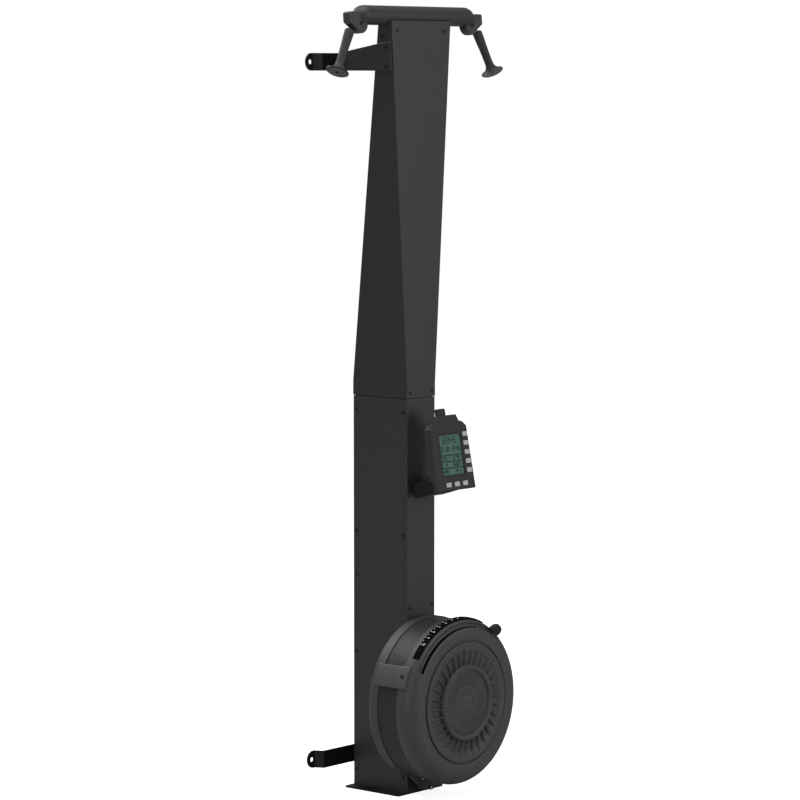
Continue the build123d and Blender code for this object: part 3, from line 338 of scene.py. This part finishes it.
def rib_wave(angle, count, half_width, soft, phase=0.0):
    """1 on a rib and 0 between ribs, with soft flanks; widths are in fractions of the pitch."""
    pitch = 360 / count
    away = abs((angle - phase + pitch / 2) % pitch - pitch / 2) / pitch
    return 1 - smooth_step(half_width, half_width + soft, away)


def grille_height(radius, angle):
    """How far the grille's face stands in front of the column, in mm."""
    if radius > RIM_IN:
        return 161.9 - 0.9 * smooth_step(156, RIM_IN, radius)
    if radius > POCKET_IN:
        floor = 156.6 + 4.4 * smooth_step(132, 148, radius)
        sweep = 3.5 * ((147 - radius) / 43) ** 2
        rib_top = RING_HEIGHT - 3.6 * (radius - POCKET_IN) / (RIM_IN - POCKET_IN)
        rib = rib_wave(angle + sweep, POCKETS, 0.06, 0.10)
        return floor + (rib_top - floor) * rib
    if radius > RING_IN:
        crown = (radius - RING_IN) / (POCKET_IN - RING_IN)
        return RING_HEIGHT + 4.6 * min(1.0, 4 * crown * (1 - crown) + 0.35)
    if radius > DISC_IN:
        reach = smooth_step(86.5, 83, radius) * smooth_step(DISC_IN, 49, radius)
        return DISC_HEIGHT + 1.6 * reach * rib_wave(angle, DISC_RIBS, 0.16, 0.16)
    if radius > CENTRE_R:
        reach = smooth_step(44, 42, radius) * smooth_step(CENTRE_R, 24, radius)
        return DISC_HEIGHT + 0.4 + 1.2 * reach * rib_wave(angle, DISC_RIBS / 2, 0.16, 0.18)
    return DISC_HEIGHT + 0.8 + 0.8 * smooth_step(CENTRE_R, 10, radius)


def make_grille():
    # a hidden flange closes the joint with the shell from behind
    rim = [(170.0, 155.2), (170.0, 156.4), (163.8, 156.6), (163.6, 160.4), (163.3, 161.2),
           (162.6, 161.7)]
    radii = [161.4, 159, 156, 153, 151, 149.3, 148.7, 146, 143, 139, 135, 131, 127, 123, 119, 115,
             111, 108, 105.5, 103.6, 102.9, 102, 100, 97.5, 95, 92.5, 90.5, 89, 88.2, 87.4, 86.4,
             85, 83, 79, 75, 71, 67, 63, 59, 55, 51, 49, 47.6, 46.6, 45, 44, 43, 42, 38, 34, 30,
             26, 24, 22.6, 21.4, 18, 14, 10, 6, 3]
    back = [(2.9, 160.5), (96, 160.5), (99, 150), (149, 150), (151, 155), (163.2, 155.2)]
    rows = [(radius, forward, False) for radius, forward in rim]
    rows += [(radius, 0.0, True) for radius in radii]
    rows += [(radius, forward, False) for radius, forward in back]
    verts = []
    for radius, forward, relief in rows:
        for j in range(GRILLE_COLUMNS):
            angle = column_angle(j, GRILLE_COLUMNS)
            height = grille_height(radius, angle) if relief else forward
            verts.append(fan_point(radius, height, angle))
    faces = ring_faces(len(rows), GRILLE_COLUMNS) + closing_faces(len(rows), GRILLE_COLUMNS)
    grille = add_piece("cage_face_grille", verts, faces, shell_plastic)
    sharpen(grille, 38)
    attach(grille, "frame")
    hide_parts("fan_face_grille")
    # the small open middle is closed by the hub's cap
    cap_rows = ((5.5, 165.1), (5.5, 166.0), (4.6, 166.5), (2.0, 166.7))
    cap_verts = []
    for radius, forward in cap_rows:
        for j in range(CAP_COLUMNS):
            cap_verts.append(fan_point(radius, forward, 360 / CAP_COLUMNS * j))
    cap_faces = ring_faces(len(cap_rows), CAP_COLUMNS)
    cap_faces.append(tuple(range((len(cap_rows) - 1) * CAP_COLUMNS, len(cap_rows) * CAP_COLUMNS)))
    cap_faces.append(tuple(range(CAP_COLUMNS - 1, -1, -1)))
    cap = add_piece("cage_hub_cap", cap_verts, cap_faces, shell_plastic)
    sharpen(cap, 50)
    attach(cap, "frame")


make_grille()

# Perforated band: staggered round holes through rolled sheet.
BAND_R = 219.5
BAND_WALL = 1.4
BAND_FROM, BAND_TO = 36.6, 97.0
HOLES_FROM, HOLES_TO = 38.2, 96.0
HOLES_AROUND = 232
HOLE_ROWS = 11
HOLE_R = 2.2
# the eight directions (forward, round the cage) from a hole's middle to the points of its rim
AROUND_HOLE = ((0, 1), (1, 1), (1, 0), (1, -1), (0, -1), (-1, -1), (-1, 0), (-1, 1))


def make_band():
    pitch = 360 / HOLES_AROUND
    step = (HOLES_TO - HOLES_FROM) / HOLE_ROWS
    verts = []
    faces = []
    found = {}

    def corner(forward, angle, radius=BAND_R):
        key = (round(forward, 3), round(angle % 360, 4) % 360, radius)
        if key not in found:
            found[key] = len(verts)
            verts.append(fan_point(radius, forward, angle))
        return found[key]

    for i in range(HOLE_ROWS):
        middle = HOLES_FROM + (i + 0.5) * step
        shift = 0.5 * (i % 2)
        for j in range(HOLES_AROUND):
            angle = (j + shift) * pitch
            border = []
            for f, a in AROUND_HOLE:
                border.append(corner(middle + f / 2 * step, angle + a / 2 * pitch))
            rim = []
            deep = []
            for f, a in AROUND_HOLE:
                scale = HOLE_R / hypot(f, a)
                forward = middle + f * scale
                turn = angle + degrees(a * scale / BAND_R)
                rim.append(corner(forward, turn))
                deep.append(corner(forward, turn, BAND_R - BAND_WALL))
            for k in range(8):
                n = (k + 1) % 8
                faces.append((border[k], border[n], rim[n], rim[k]))
                faces.append((rim[k], rim[n], deep[n], deep[k]))
    # plain rims beside the holes
    for low, high in ((BAND_FROM, HOLES_FROM), (HOLES_TO, BAND_TO)):
        for j in range(2 * HOLES_AROUND):
            a, b = j * pitch / 2, (j + 1) * pitch / 2
            faces.append((corner(low, a), corner(low, b), corner(high, b), corner(high, a)))
    band = add_piece("cage_perforated_band", verts, faces, band_steel)
    sharpen(band, 40)
    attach(band, "frame")
    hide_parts("perforated_band")


make_band()

# Clamps over the band: bent blocks with eased edges and a shallow recess round the screw.
CLAMP_BACK, CLAMP_FRONT = 17.0, 131.0
CLAMP_SCREW = 112.0
CLAMP_LINE = ((CLAMP_BACK, 222.0), (94.0, 222.0), (CLAMP_SCREW, 226.4), (CLAMP_FRONT, 226.4))
CLAMP_TURN = 66.5
CLAMP_HALF = 8.0
CLAMP_FOOT = 0.4
CLAMP_RISE = 3.6
CLAMP_EASE = 3.0
CLAMP_EDGE_R = 226
CLAMP_TOP_R = 230


def clamp_base(forward):
    """Radius of the clamp's underside at a distance in front of the column, in mm."""
    for (f0, r0), (f1, r1) in zip(CLAMP_LINE, CLAMP_LINE[1:]):
        if forward <= f1:
            return r0 + (r1 - r0) * (forward - f0) / (f1 - f0)
    return CLAMP_LINE[-1][1]


def make_clamps():
    across = [-1, -0.985, -0.95, -0.9] + [-0.8 + 0.1 * k for k in range(17)] + [0.9, 0.95, 0.985, 1]
    lengths = [CLAMP_BACK, 17.4, 18.4, 20.0] + [20.0 + 2.0 * k for k in range(1, 55)]
    lengths += [129.6, 130.6, CLAMP_FRONT]
    columns = len(across)
    # the points round the edge of the top, in order
    border = list(range(columns))
    border += [i * columns + columns - 1 for i in range(1, len(lengths))]
    border += [(len(lengths) - 1) * columns + j for j in range(columns - 2, -1, -1)]
    border += [i * columns for i in range(len(lengths) - 2, 0, -1)]
    verts = []
    faces = []
    for _, side in SIDES:
        first = len(verts)
        for forward in lengths:
            for share in across:
                turn = share * CLAMP_HALF
                edge = min(forward - CLAMP_BACK, CLAMP_FRONT - forward,
                           (1 - abs(share)) * radians(CLAMP_HALF) * CLAMP_EDGE_R)
                rounded = (1 - (1 - min(1.0, edge / CLAMP_EASE)) ** 2) ** 0.5
                from_screw = hypot(forward - CLAMP_SCREW, radians(turn) * CLAMP_TOP_R)
                dip = 1.0 - smooth_step(8.0, 9.5, from_screw)
                rise = CLAMP_FOOT + CLAMP_RISE * rounded - (dip if edge > CLAMP_EASE else 0.0)
                radius = clamp_base(forward) + rise
                verts.append(fan_point(radius, forward, side * CLAMP_TURN + turn))
        top = ring_faces(len(lengths), columns, closed=False)
        faces += [tuple(first + i for i in face) for face in top]
        base = len(verts)
        for index in border:
            forward = lengths[index // columns]
            turn = across[index % columns] * CLAMP_HALF
            verts.append(fan_point(clamp_base(forward), forward, side * CLAMP_TURN + turn))
        for i, index in enumerate(border):
            n = (i + 1) % len(border)
            faces.append((first + index, first + border[n], base + n, base + i))
    clamps = add_piece("cage_clamps", verts, faces, clamp_plastic)
    sharpen(clamps, 40)
    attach(clamps, "frame")
    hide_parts("band_clamps")


make_clamps()


def disc_stack(place, profile, around=32):
    """Turned shape in front of the column; profile is (radius, forward) in mm, back to front."""
    verts = []
    for radius, forward in profile:
        for j in range(around):
            turn = 2 * pi * j / around
            verts.append(Vector(((place[0] + radius * cos(turn)) * MM, FRONT_Y - forward * MM,
                                 (place[1] + radius * sin(turn)) * MM)))
    faces = ring_faces(len(profile), around)
    faces.append(tuple(range(around - 1, -1, -1)))
    faces.append(tuple(range((len(profile) - 1) * around, len(profile) * around)))
    return verts, faces


def make_ear_details():
    """Rounded lobe under the lower ear, with two bright screws."""
    profile = ((13.5, 22.5), (14.5, 23.2), (14.5, 33.2), (13.9, 34.1), (12.8, 34.5))
    verts, faces = disc_stack((6, 23), profile, 64)
    lobe = add_piece("ear_lobe", verts, faces, shell_plastic)
    sharpen(lobe, 50)
    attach(lobe, "frame")
    verts = []
    faces = []
    head = ((3.4, 34.0), (3.4, 35.4), (3.0, 36.2), (2.1, 36.7), (1.4, 36.8), (1.3, 35.9))
    for place in ((3, 14), (-32, 45)):
        more, shapes = disc_stack(place, head)
        faces += [tuple(len(verts) + i for i in shape) for shape in shapes]
        verts += more
    heads = add_piece("ear_screw_heads", verts, faces, screw_bright)
    sharpen(heads, 30)
    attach(heads, "frame")


make_ear_details()

# Damper scale: plain numbers 10 to 1 and tick marks printed round the strip.
STRIP_R = 228.6
STRIP_OVER = 36.6
PRINT_LIFT = 0.12
SCALE_START = -40.5
SCALE_STEP = 6.5
SCALE_NUMBERS = 10
NUMBER_SIZE = 9.0
NUMBER_FORWARD = 135.0
TICK_FORWARD = 127.5
TICK_HALF = 0.9


def wrap_on_strip(point, angle, forward):
    """Lays a flat drawing point (mm) on the strip: x runs round the cage, y towards the wall."""
    place = forward - point[1]
    past = max(0.0, place - SHOULDER[0])
    radius = SHOULDER[1] + (STRIP_OVER ** 2 - past ** 2) ** 0.5
    return fan_point(radius + PRINT_LIFT, place, angle + degrees(point[0] / STRIP_R))


def number_mesh(text, size):
    curve = bpy.data.curves.new("number", "FONT")
    curve.body = text
    curve.size = size
    curve.align_x = "CENTER"
    curve.align_y = "CENTER"
    drawn = bpy.data.objects.new("number", curve)
    bpy.context.scene.collection.objects.link(drawn)
    bpy.context.view_layer.update()
    depsgraph = bpy.context.evaluated_depsgraph_get()
    mesh = bpy.data.meshes.new_from_object(drawn.evaluated_get(depsgraph))
    verts = [v.co.copy() for v in mesh.vertices]
    faces = [tuple(p.vertices) for p in mesh.polygons]
    bpy.data.objects.remove(drawn)
    bpy.data.meshes.remove(mesh)
    return verts, faces


def make_scale():
    verts = []
    faces = []

    def draw(points, shapes, angle, forward):
        base = len(verts)
        verts.extend(wrap_on_strip(p, angle, forward) for p in points)
        faces.extend(tuple(base + i for i in shape) for shape in shapes)

    for index in range(SCALE_NUMBERS):
        angle = SCALE_START + SCALE_STEP * index
        points, shapes = number_mesh(str(SCALE_NUMBERS - index), NUMBER_SIZE)
        draw(points, shapes, angle, NUMBER_FORWARD)
        # a long tick at the number and a short one half way to the next
        for part, length in ((0, 3.2), (0.5, 2.0)):
            tick = [(-TICK_HALF, 0), (TICK_HALF, 0), (TICK_HALF, length), (-TICK_HALF, length)]
            draw(tick, [(0, 1, 2, 3)], angle + SCALE_STEP * part, TICK_FORWARD)
    marks = add_piece("damper_scale_marks", verts, faces, print_white, smooth=False)
    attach(marks, "frame")


make_scale()

# ---------------------------------------------------------------- monitor

LEAN = radians(10.0)
FACE_FOOT = Vector((0, FRONT_Y - 0.126, 0.838))
FACE_NORMAL = Vector((0, -cos(LEAN), sin(LEAN)))
LCD_LEFT, LCD_RIGHT, LCD_LOW, LCD_HIGH = -45.5, 42.5, 42.0, 150.0
LCD_TOP = -1.5
KEY_THICK = 6.0

# seven-segment digits: each segment's ends in a unit box, and the segments of each digit
SEGMENTS = {"a": (0, 1, 1, 1), "b": (1, 0.5, 1, 1), "c": (1, 0, 1, 0.5), "d": (0, 0, 1, 0),
            "e": (0, 0, 0, 0.5), "f": (0, 0.5, 0, 1), "g": (0, 0.5, 1, 0.5)}
DIGITS = {"0": "abcdef", "1": "bc", "2": "abged", "3": "abgcd", "4": "fgbc", "5": "afgcd",
          "6": "afgedc", "7": "abc", "8": "abcdefg", "9": "abcdfg"}
# generic readings: digits, left, low, width and height of a digit, in mm on the face
READINGS = (("12345", -40, 128, 10.0, 15.0), ("018", -40, 106, 8.0, 12.0),
            ("246", 6, 106, 8.0, 12.0), ("05", -38, 83.5, 6.0, 8.5), ("379", 4, 83.5, 6.0, 8.5),
            ("14", -38, 66, 6.0, 8.0), ("602", 4, 66, 6.0, 8.0), ("88", -38, 48, 6.0, 8.0),
            ("151", 4, 48, 6.0, 8.0))
DIGIT_GAP = 3.4
SEGMENT_WIDTH = 2.2
RULE_HEIGHTS = (95.5, 78.5, 61.0)
RULE_WIDTH = 2.4
INK_LIFT = 0.06


def on_face(u, v, lift=0.0):
    """Point of the monitor's face: right, up and out of the face in mm."""
    along = Vector((u * MM, v * sin(LEAN) * MM, v * cos(LEAN) * MM))
    return FACE_FOOT + along + FACE_NORMAL * lift * MM


def add_bar(verts, faces, start, end, width, lift):
    """Flat bar with pointed ends between two points of the face."""
    (u0, v0), (u1, v1) = start, end
    length = hypot(u1 - u0, v1 - v0)
    du, dv = (u1 - u0) / length, (v1 - v0) / length
    half = width / 2
    shape = ((0, 0), (half, half), (length - half, half), (length, 0), (length - half, -half),
             (half, -half))
    base = len(verts)
    verts.extend(on_face(u0 + du * x - dv * y, v0 + dv * x + du * y, lift) for x, y in shape)
    faces.append(tuple(base + k for k in range(6)))


def make_display():
    verts = []
    faces = []
    lift = LCD_TOP + INK_LIFT
    for height in RULE_HEIGHTS:
        add_bar(verts, faces, (-43.5, height), (40.5, height), RULE_WIDTH, lift)
    for text, left, low, wide, high in READINGS:
        for index, digit in enumerate(text):
            foot = left + index * (wide + DIGIT_GAP)
            for segment in DIGITS[digit]:
                x0, y0, x1, y1 = SEGMENTS[segment]
                start = (foot + x0 * wide, low + y0 * high)
                end = (foot + x1 * wide, low + y1 * high)
                add_bar(verts, faces, start, end, SEGMENT_WIDTH, lift)
    ink = add_piece("lcd_segments", verts, faces, lcd_ink, smooth=False)
    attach(ink, "monitor")

    # Painted shade of the window's recess: a dark raised frame round the window, wider at the top
    # and beside the keys.
    # A loop is a rectangle, how far it is moved out, and its lift; the outer rectangle's loops are
    # the fourth to sixth.
    inner = (LCD_LEFT + 0.2, LCD_LOW + 0.2, LCD_RIGHT - 0.2, LCD_HIGH - 0.2)
    outer = (LCD_LEFT - 1.8, LCD_LOW - 1.4, LCD_RIGHT + 7.4, LCD_HIGH + 5.6)
    loops = ((inner, 0.0, LCD_TOP + 0.05), (inner, 0.0, 0.2), (inner, -0.5, 0.6),
             (outer, -0.5, 0.6), (outer, 0.0, 0.35), (outer, 0.0, 0.05),
             (inner, -0.1, 0.05), (inner, -0.1, LCD_TOP + 0.05))
    verts = []
    for index, ((left, low, right, high), grow, lift) in enumerate(loops):
        out = grow if index in (3, 4, 5) else -grow
        verts += [on_face(left - out, low - out, lift), on_face(right + out, low - out, lift),
                  on_face(right + out, high + out, lift), on_face(left - out, high + out, lift)]
    faces = ring_faces(len(loops), 4) + closing_faces(len(loops), 4)
    painted_shade_frame = add_piece("lcd_painted_shade_frame", verts, faces, black_plastic, smooth=False)
    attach(painted_shade_frame, "monitor")


BUTTON_BODIES = [JOINTS[f"button_press_{number}"]["child"] for number in range(1, 9)]
KEY_INK_LIFT = 0.05
# plain marks on the keys: triangles, bars, a square and a divided cross
KEY_MARKS = (
    (((-2.6, -1.8), (2.6, -1.8), (0, 2.4)),),
    (((-2.6, 1.8), (0, -2.4), (2.6, 1.8)),),
    (((-3.2, 0.7), (-3.2, 1.9), (3.2, 1.9), (3.2, 0.7)),
     ((-3.2, -1.9), (-3.2, -0.7), (3.2, -0.7), (3.2, -1.9))),
    (((-2.0, -2.0), (2.0, -2.0), (2.0, 2.0), (-2.0, 2.0)),),
    (((-3.4, -0.7), (3.4, -0.7), (3.4, 0.7), (-3.4, 0.7)),),
    (((1.8, 2.6), (-2.4, 0), (1.8, -2.6)),),
    (((-3.0, -0.6), (3.0, -0.6), (3.0, 0.6), (-3.0, 0.6)),
     ((-0.6, 1.0), (0.6, 1.0), (0.6, 2.8), (-0.6, 2.8)),
     ((-0.6, -2.8), (0.6, -2.8), (0.6, -1.0), (-0.6, -1.0))),
    (((-1.8, -2.6), (2.4, 0), (-1.8, 2.6)),),
)


def make_key_marks():
    for number, shapes in enumerate(KEY_MARKS, start=1):
        low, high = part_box(f"monitor_button_{number}")
        top = (Vector(low) + Vector(high)) / 2 + FACE_NORMAL * (KEY_THICK / 2 + KEY_INK_LIFT) * MM
        up = Vector((0, sin(LEAN), cos(LEAN)))
        verts = []
        faces = []
        for shape in shapes:
            faces.append(tuple(range(len(verts), len(verts) + len(shape))))
            verts.extend(top + Vector((u * MM, 0, 0)) + up * v * MM for u, v in shape)
        mark = add_piece(f"key_mark_{number}", verts, faces, key_ink, smooth=False)
        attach(mark, BUTTON_BODIES[number - 1])


make_display()
make_key_marks()

# ---------------------------------------------------------------- handles and their cords

GRIP_FROM, GRIP_TO = 32, 154
GRIP_COLUMNS = 96
GRIP_R = 11.0
GRIP_SWELL = 2.0
GRIP_BORE_R = 7.5
FLARE_FROM = 126
FLARE_LENGTH = 28
FLARE_RISE = 20.0
KNURL_DEPTH = 0.35
KNURL_TURNS = 12
KNURL_PITCH = 0.9
CORD_SIDE = 22
CORD_R = 2.0
CORD_STRAND = 0.08
CORD_RINGS = 60
CORD_COLUMNS = 16
CORD_FROM = -2
CORD_LENGTH = 40


def grip_radius(t):
    """Outer radius of the grip in mm, t mm along it, without its texture."""
    if t < 34:
        return GRIP_R + GRIP_SWELL * sin(pi / 2 * (t - GRIP_FROM) / 2)
    if t < FLARE_FROM:
        return GRIP_R + GRIP_SWELL * (1 - smooth_step(34, 105, t))
    left = max(0.0, 1 - ((t - FLARE_FROM) / FLARE_LENGTH) ** 2.6) ** 0.75
    return GRIP_R + FLARE_RISE * (1 - left)


def make_handle(name, side):
    pull = Vector(JOINTS[f"handle_pull_{name}"]["axis"]).normalized()
    swivel = Vector(JOINTS[f"head_pulley_spin_{name}"]["axis"]).normalized()
    pulley = Vector(JOINTS[f"head_pulley_spin_{name}"]["pos_m"])
    outward = swivel.cross(pull) * -side
    outward = outward if outward.x * side > 0 else -outward
    leave = pulley + outward * CORD_SIDE * MM
    third = pull.cross(outward)

    def handle_point(along, radius, turn):
        return leave + pull * along * MM + (outward * cos(turn) + third * sin(turn)) * radius * MM

    stations = [GRIP_FROM, 32.5, 33, 34] + [34 + 0.75 * k for k in range(1, 112)]
    stations += [118 + 1.2 * k for k in range(1, 24)] + [147 + 0.7 * k for k in range(1, 11)]
    verts = []
    for t in stations:
        knurl = smooth_step(36, 39, t) * smooth_step(120, 116, t)
        for j in range(GRIP_COLUMNS):
            turn = 2 * pi * j / GRIP_COLUMNS
            wave = (sin(KNURL_TURNS * turn + t * KNURL_PITCH)
                    * sin(KNURL_TURNS * turn - t * KNURL_PITCH))
            verts.append(handle_point(t, grip_radius(t) + KNURL_DEPTH * knurl * wave, turn))
    for t in (GRIP_TO, GRIP_FROM):
        for j in range(GRIP_COLUMNS):
            verts.append(handle_point(t, GRIP_BORE_R, 2 * pi * j / GRIP_COLUMNS))
    rows = len(stations) + 2
    faces = ring_faces(rows, GRIP_COLUMNS) + closing_faces(rows, GRIP_COLUMNS)
    grip = add_piece(f"grip_{name}", verts, faces, grip_rubber)
    sharpen(grip, 50)
    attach(grip, f"handle_{name}")
    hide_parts(f"handle_grip_{name}")

    # a short twisted stub of cord from the head's pulley into the grip, not attached to the handle
    verts = []
    for i in range(CORD_RINGS + 1):
        along = CORD_FROM + CORD_LENGTH * i / CORD_RINGS
        for j in range(CORD_COLUMNS):
            twist = 2 * pi * j / CORD_COLUMNS + 0.5 * i
            radius = CORD_R + CORD_STRAND * cos(4 * (twist - 0.5 * i))
            verts.append(handle_point(along, radius, twist))
    faces = ring_faces(CORD_RINGS + 1, CORD_COLUMNS)
    faces.append(tuple(range(CORD_COLUMNS - 1, -1, -1)))
    faces.append(tuple(range(CORD_RINGS * CORD_COLUMNS, (CORD_RINGS + 1) * CORD_COLUMNS)))
    cord = add_piece(f"pull_cord_{name}", verts, faces, cord_weave)
    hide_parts(f"cord_end_{name}")
    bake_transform(cord)


for name, side in SIDES:
    make_handle(name, side)

# ---------------------------------------------------------------- stage, light and camera

AMBIENT = 0.30
FLOOR_HALF = 60.0
FLOOR_GLOW = 0.85

# The floor is lit evenly to the eye, so that it runs into the white backdrop without a horizon.
pale_floor = shade("pale_floor", (0.5, 0.5, 0.5), rough=0.9, mottle=0.0)
floor_tree = pale_floor.node_tree
glow = floor_tree.nodes.new("ShaderNodeEmission")
seen_floor = floor_tree.nodes.new("ShaderNodeLightPath")
glow_level = floor_tree.nodes.new("ShaderNodeMath")
glow_level.operation = "MULTIPLY"
glow_level.inputs[1].default_value = FLOOR_GLOW
floor_tree.links.new(seen_floor.outputs["Is Camera Ray"], glow_level.inputs[0])
floor_tree.links.new(glow_level.outputs["Value"], glow.inputs["Strength"])
both = floor_tree.nodes.new("ShaderNodeAddShader")
floor_tree.links.new(floor_tree.nodes["Principled BSDF"].outputs["BSDF"], both.inputs[0])
floor_tree.links.new(glow.outputs["Emission"], both.inputs[1])
floor_tree.links.new(both.outputs["Shader"], floor_tree.nodes["Material Output"].inputs["Surface"])

floor_mesh = bpy.data.meshes.new("floor")
CORNERS = ((-1, -1), (1, -1), (1, 1), (-1, 1))
floor_corners = [(x * FLOOR_HALF, y * FLOOR_HALF, 0) for x, y in CORNERS]
floor_mesh.from_pydata(floor_corners, [], [(0, 1, 2, 3)])
floor_mesh.materials.append(pale_floor)
floor = bpy.data.objects.new("floor", floor_mesh)
bpy.context.scene.collection.objects.link(floor)

world = bpy.data.worlds.new("studio")
world.use_nodes = True
sky = world.node_tree
backdrop = sky.nodes["Background"]
backdrop.inputs["Color"].default_value = (1, 1, 1, 1)
backdrop.inputs["Strength"].default_value = 1.0
ambient = sky.nodes.new("ShaderNodeBackground")
ambient.inputs["Color"].default_value = (1, 1, 1, 1)
ambient.inputs["Strength"].default_value = AMBIENT
seen = sky.nodes.new("ShaderNodeLightPath")
choose = sky.nodes.new("ShaderNodeMixShader")
sky.links.new(seen.outputs["Is Camera Ray"], choose.inputs["Fac"])
sky.links.new(ambient.outputs["Background"], choose.inputs[1])
sky.links.new(backdrop.outputs["Background"], choose.inputs[2])
sky.links.new(choose.outputs["Shader"], sky.nodes["World Output"].inputs["Surface"])
bpy.context.scene.world = world


def area_light(name, place, target, size, power):
    lamp = bpy.data.lights.new(name, "AREA")
    lamp.shape = "RECTANGLE"
    lamp.size, lamp.size_y = size
    lamp.energy = power
    light = bpy.data.objects.new(name, lamp)
    light.location = place
    light.rotation_euler = (Vector(target) - Vector(place)).to_track_quat("-Z", "Y").to_euler()
    bpy.context.scene.collection.objects.link(light)


area_light("overhead", (-0.5, -0.5, 5.0), (0, 0, 1.0), (4.0, 4.0), 160)
area_light("front_key", (2.5, -5.0, 1.9), (0, 0, 0.9), (2.5, 3.0), 105)
area_light("left_fill", (-5.5, -1.5, 1.4), (0, 0, 0.9), (2.0, 3.0), 78)
area_light("back_rim", (-0.6, 3.6, 4.2), (0, 0, 0.9), (2.5, 2.0), 140)

CAMERA_PLACE = Vector((-6.9713, -6.00405, 1.93432))
CAMERA_TURN = 49.3643
CAMERA_DOWN = 5.3846
CAMERA_LENS = 152.92

camera_data = bpy.data.cameras.new("camera")
camera_data.lens = CAMERA_LENS
camera_data.sensor_width = 36
camera_data.clip_end = 100
camera = bpy.data.objects.new("camera", camera_data)
camera.location = CAMERA_PLACE
camera.rotation_euler = (radians(90 - CAMERA_DOWN), 0, radians(-CAMERA_TURN))
bpy.context.scene.collection.objects.link(camera)
bpy.context.scene.camera = camera
bpy.context.scene.view_settings.view_transform = "Standard"
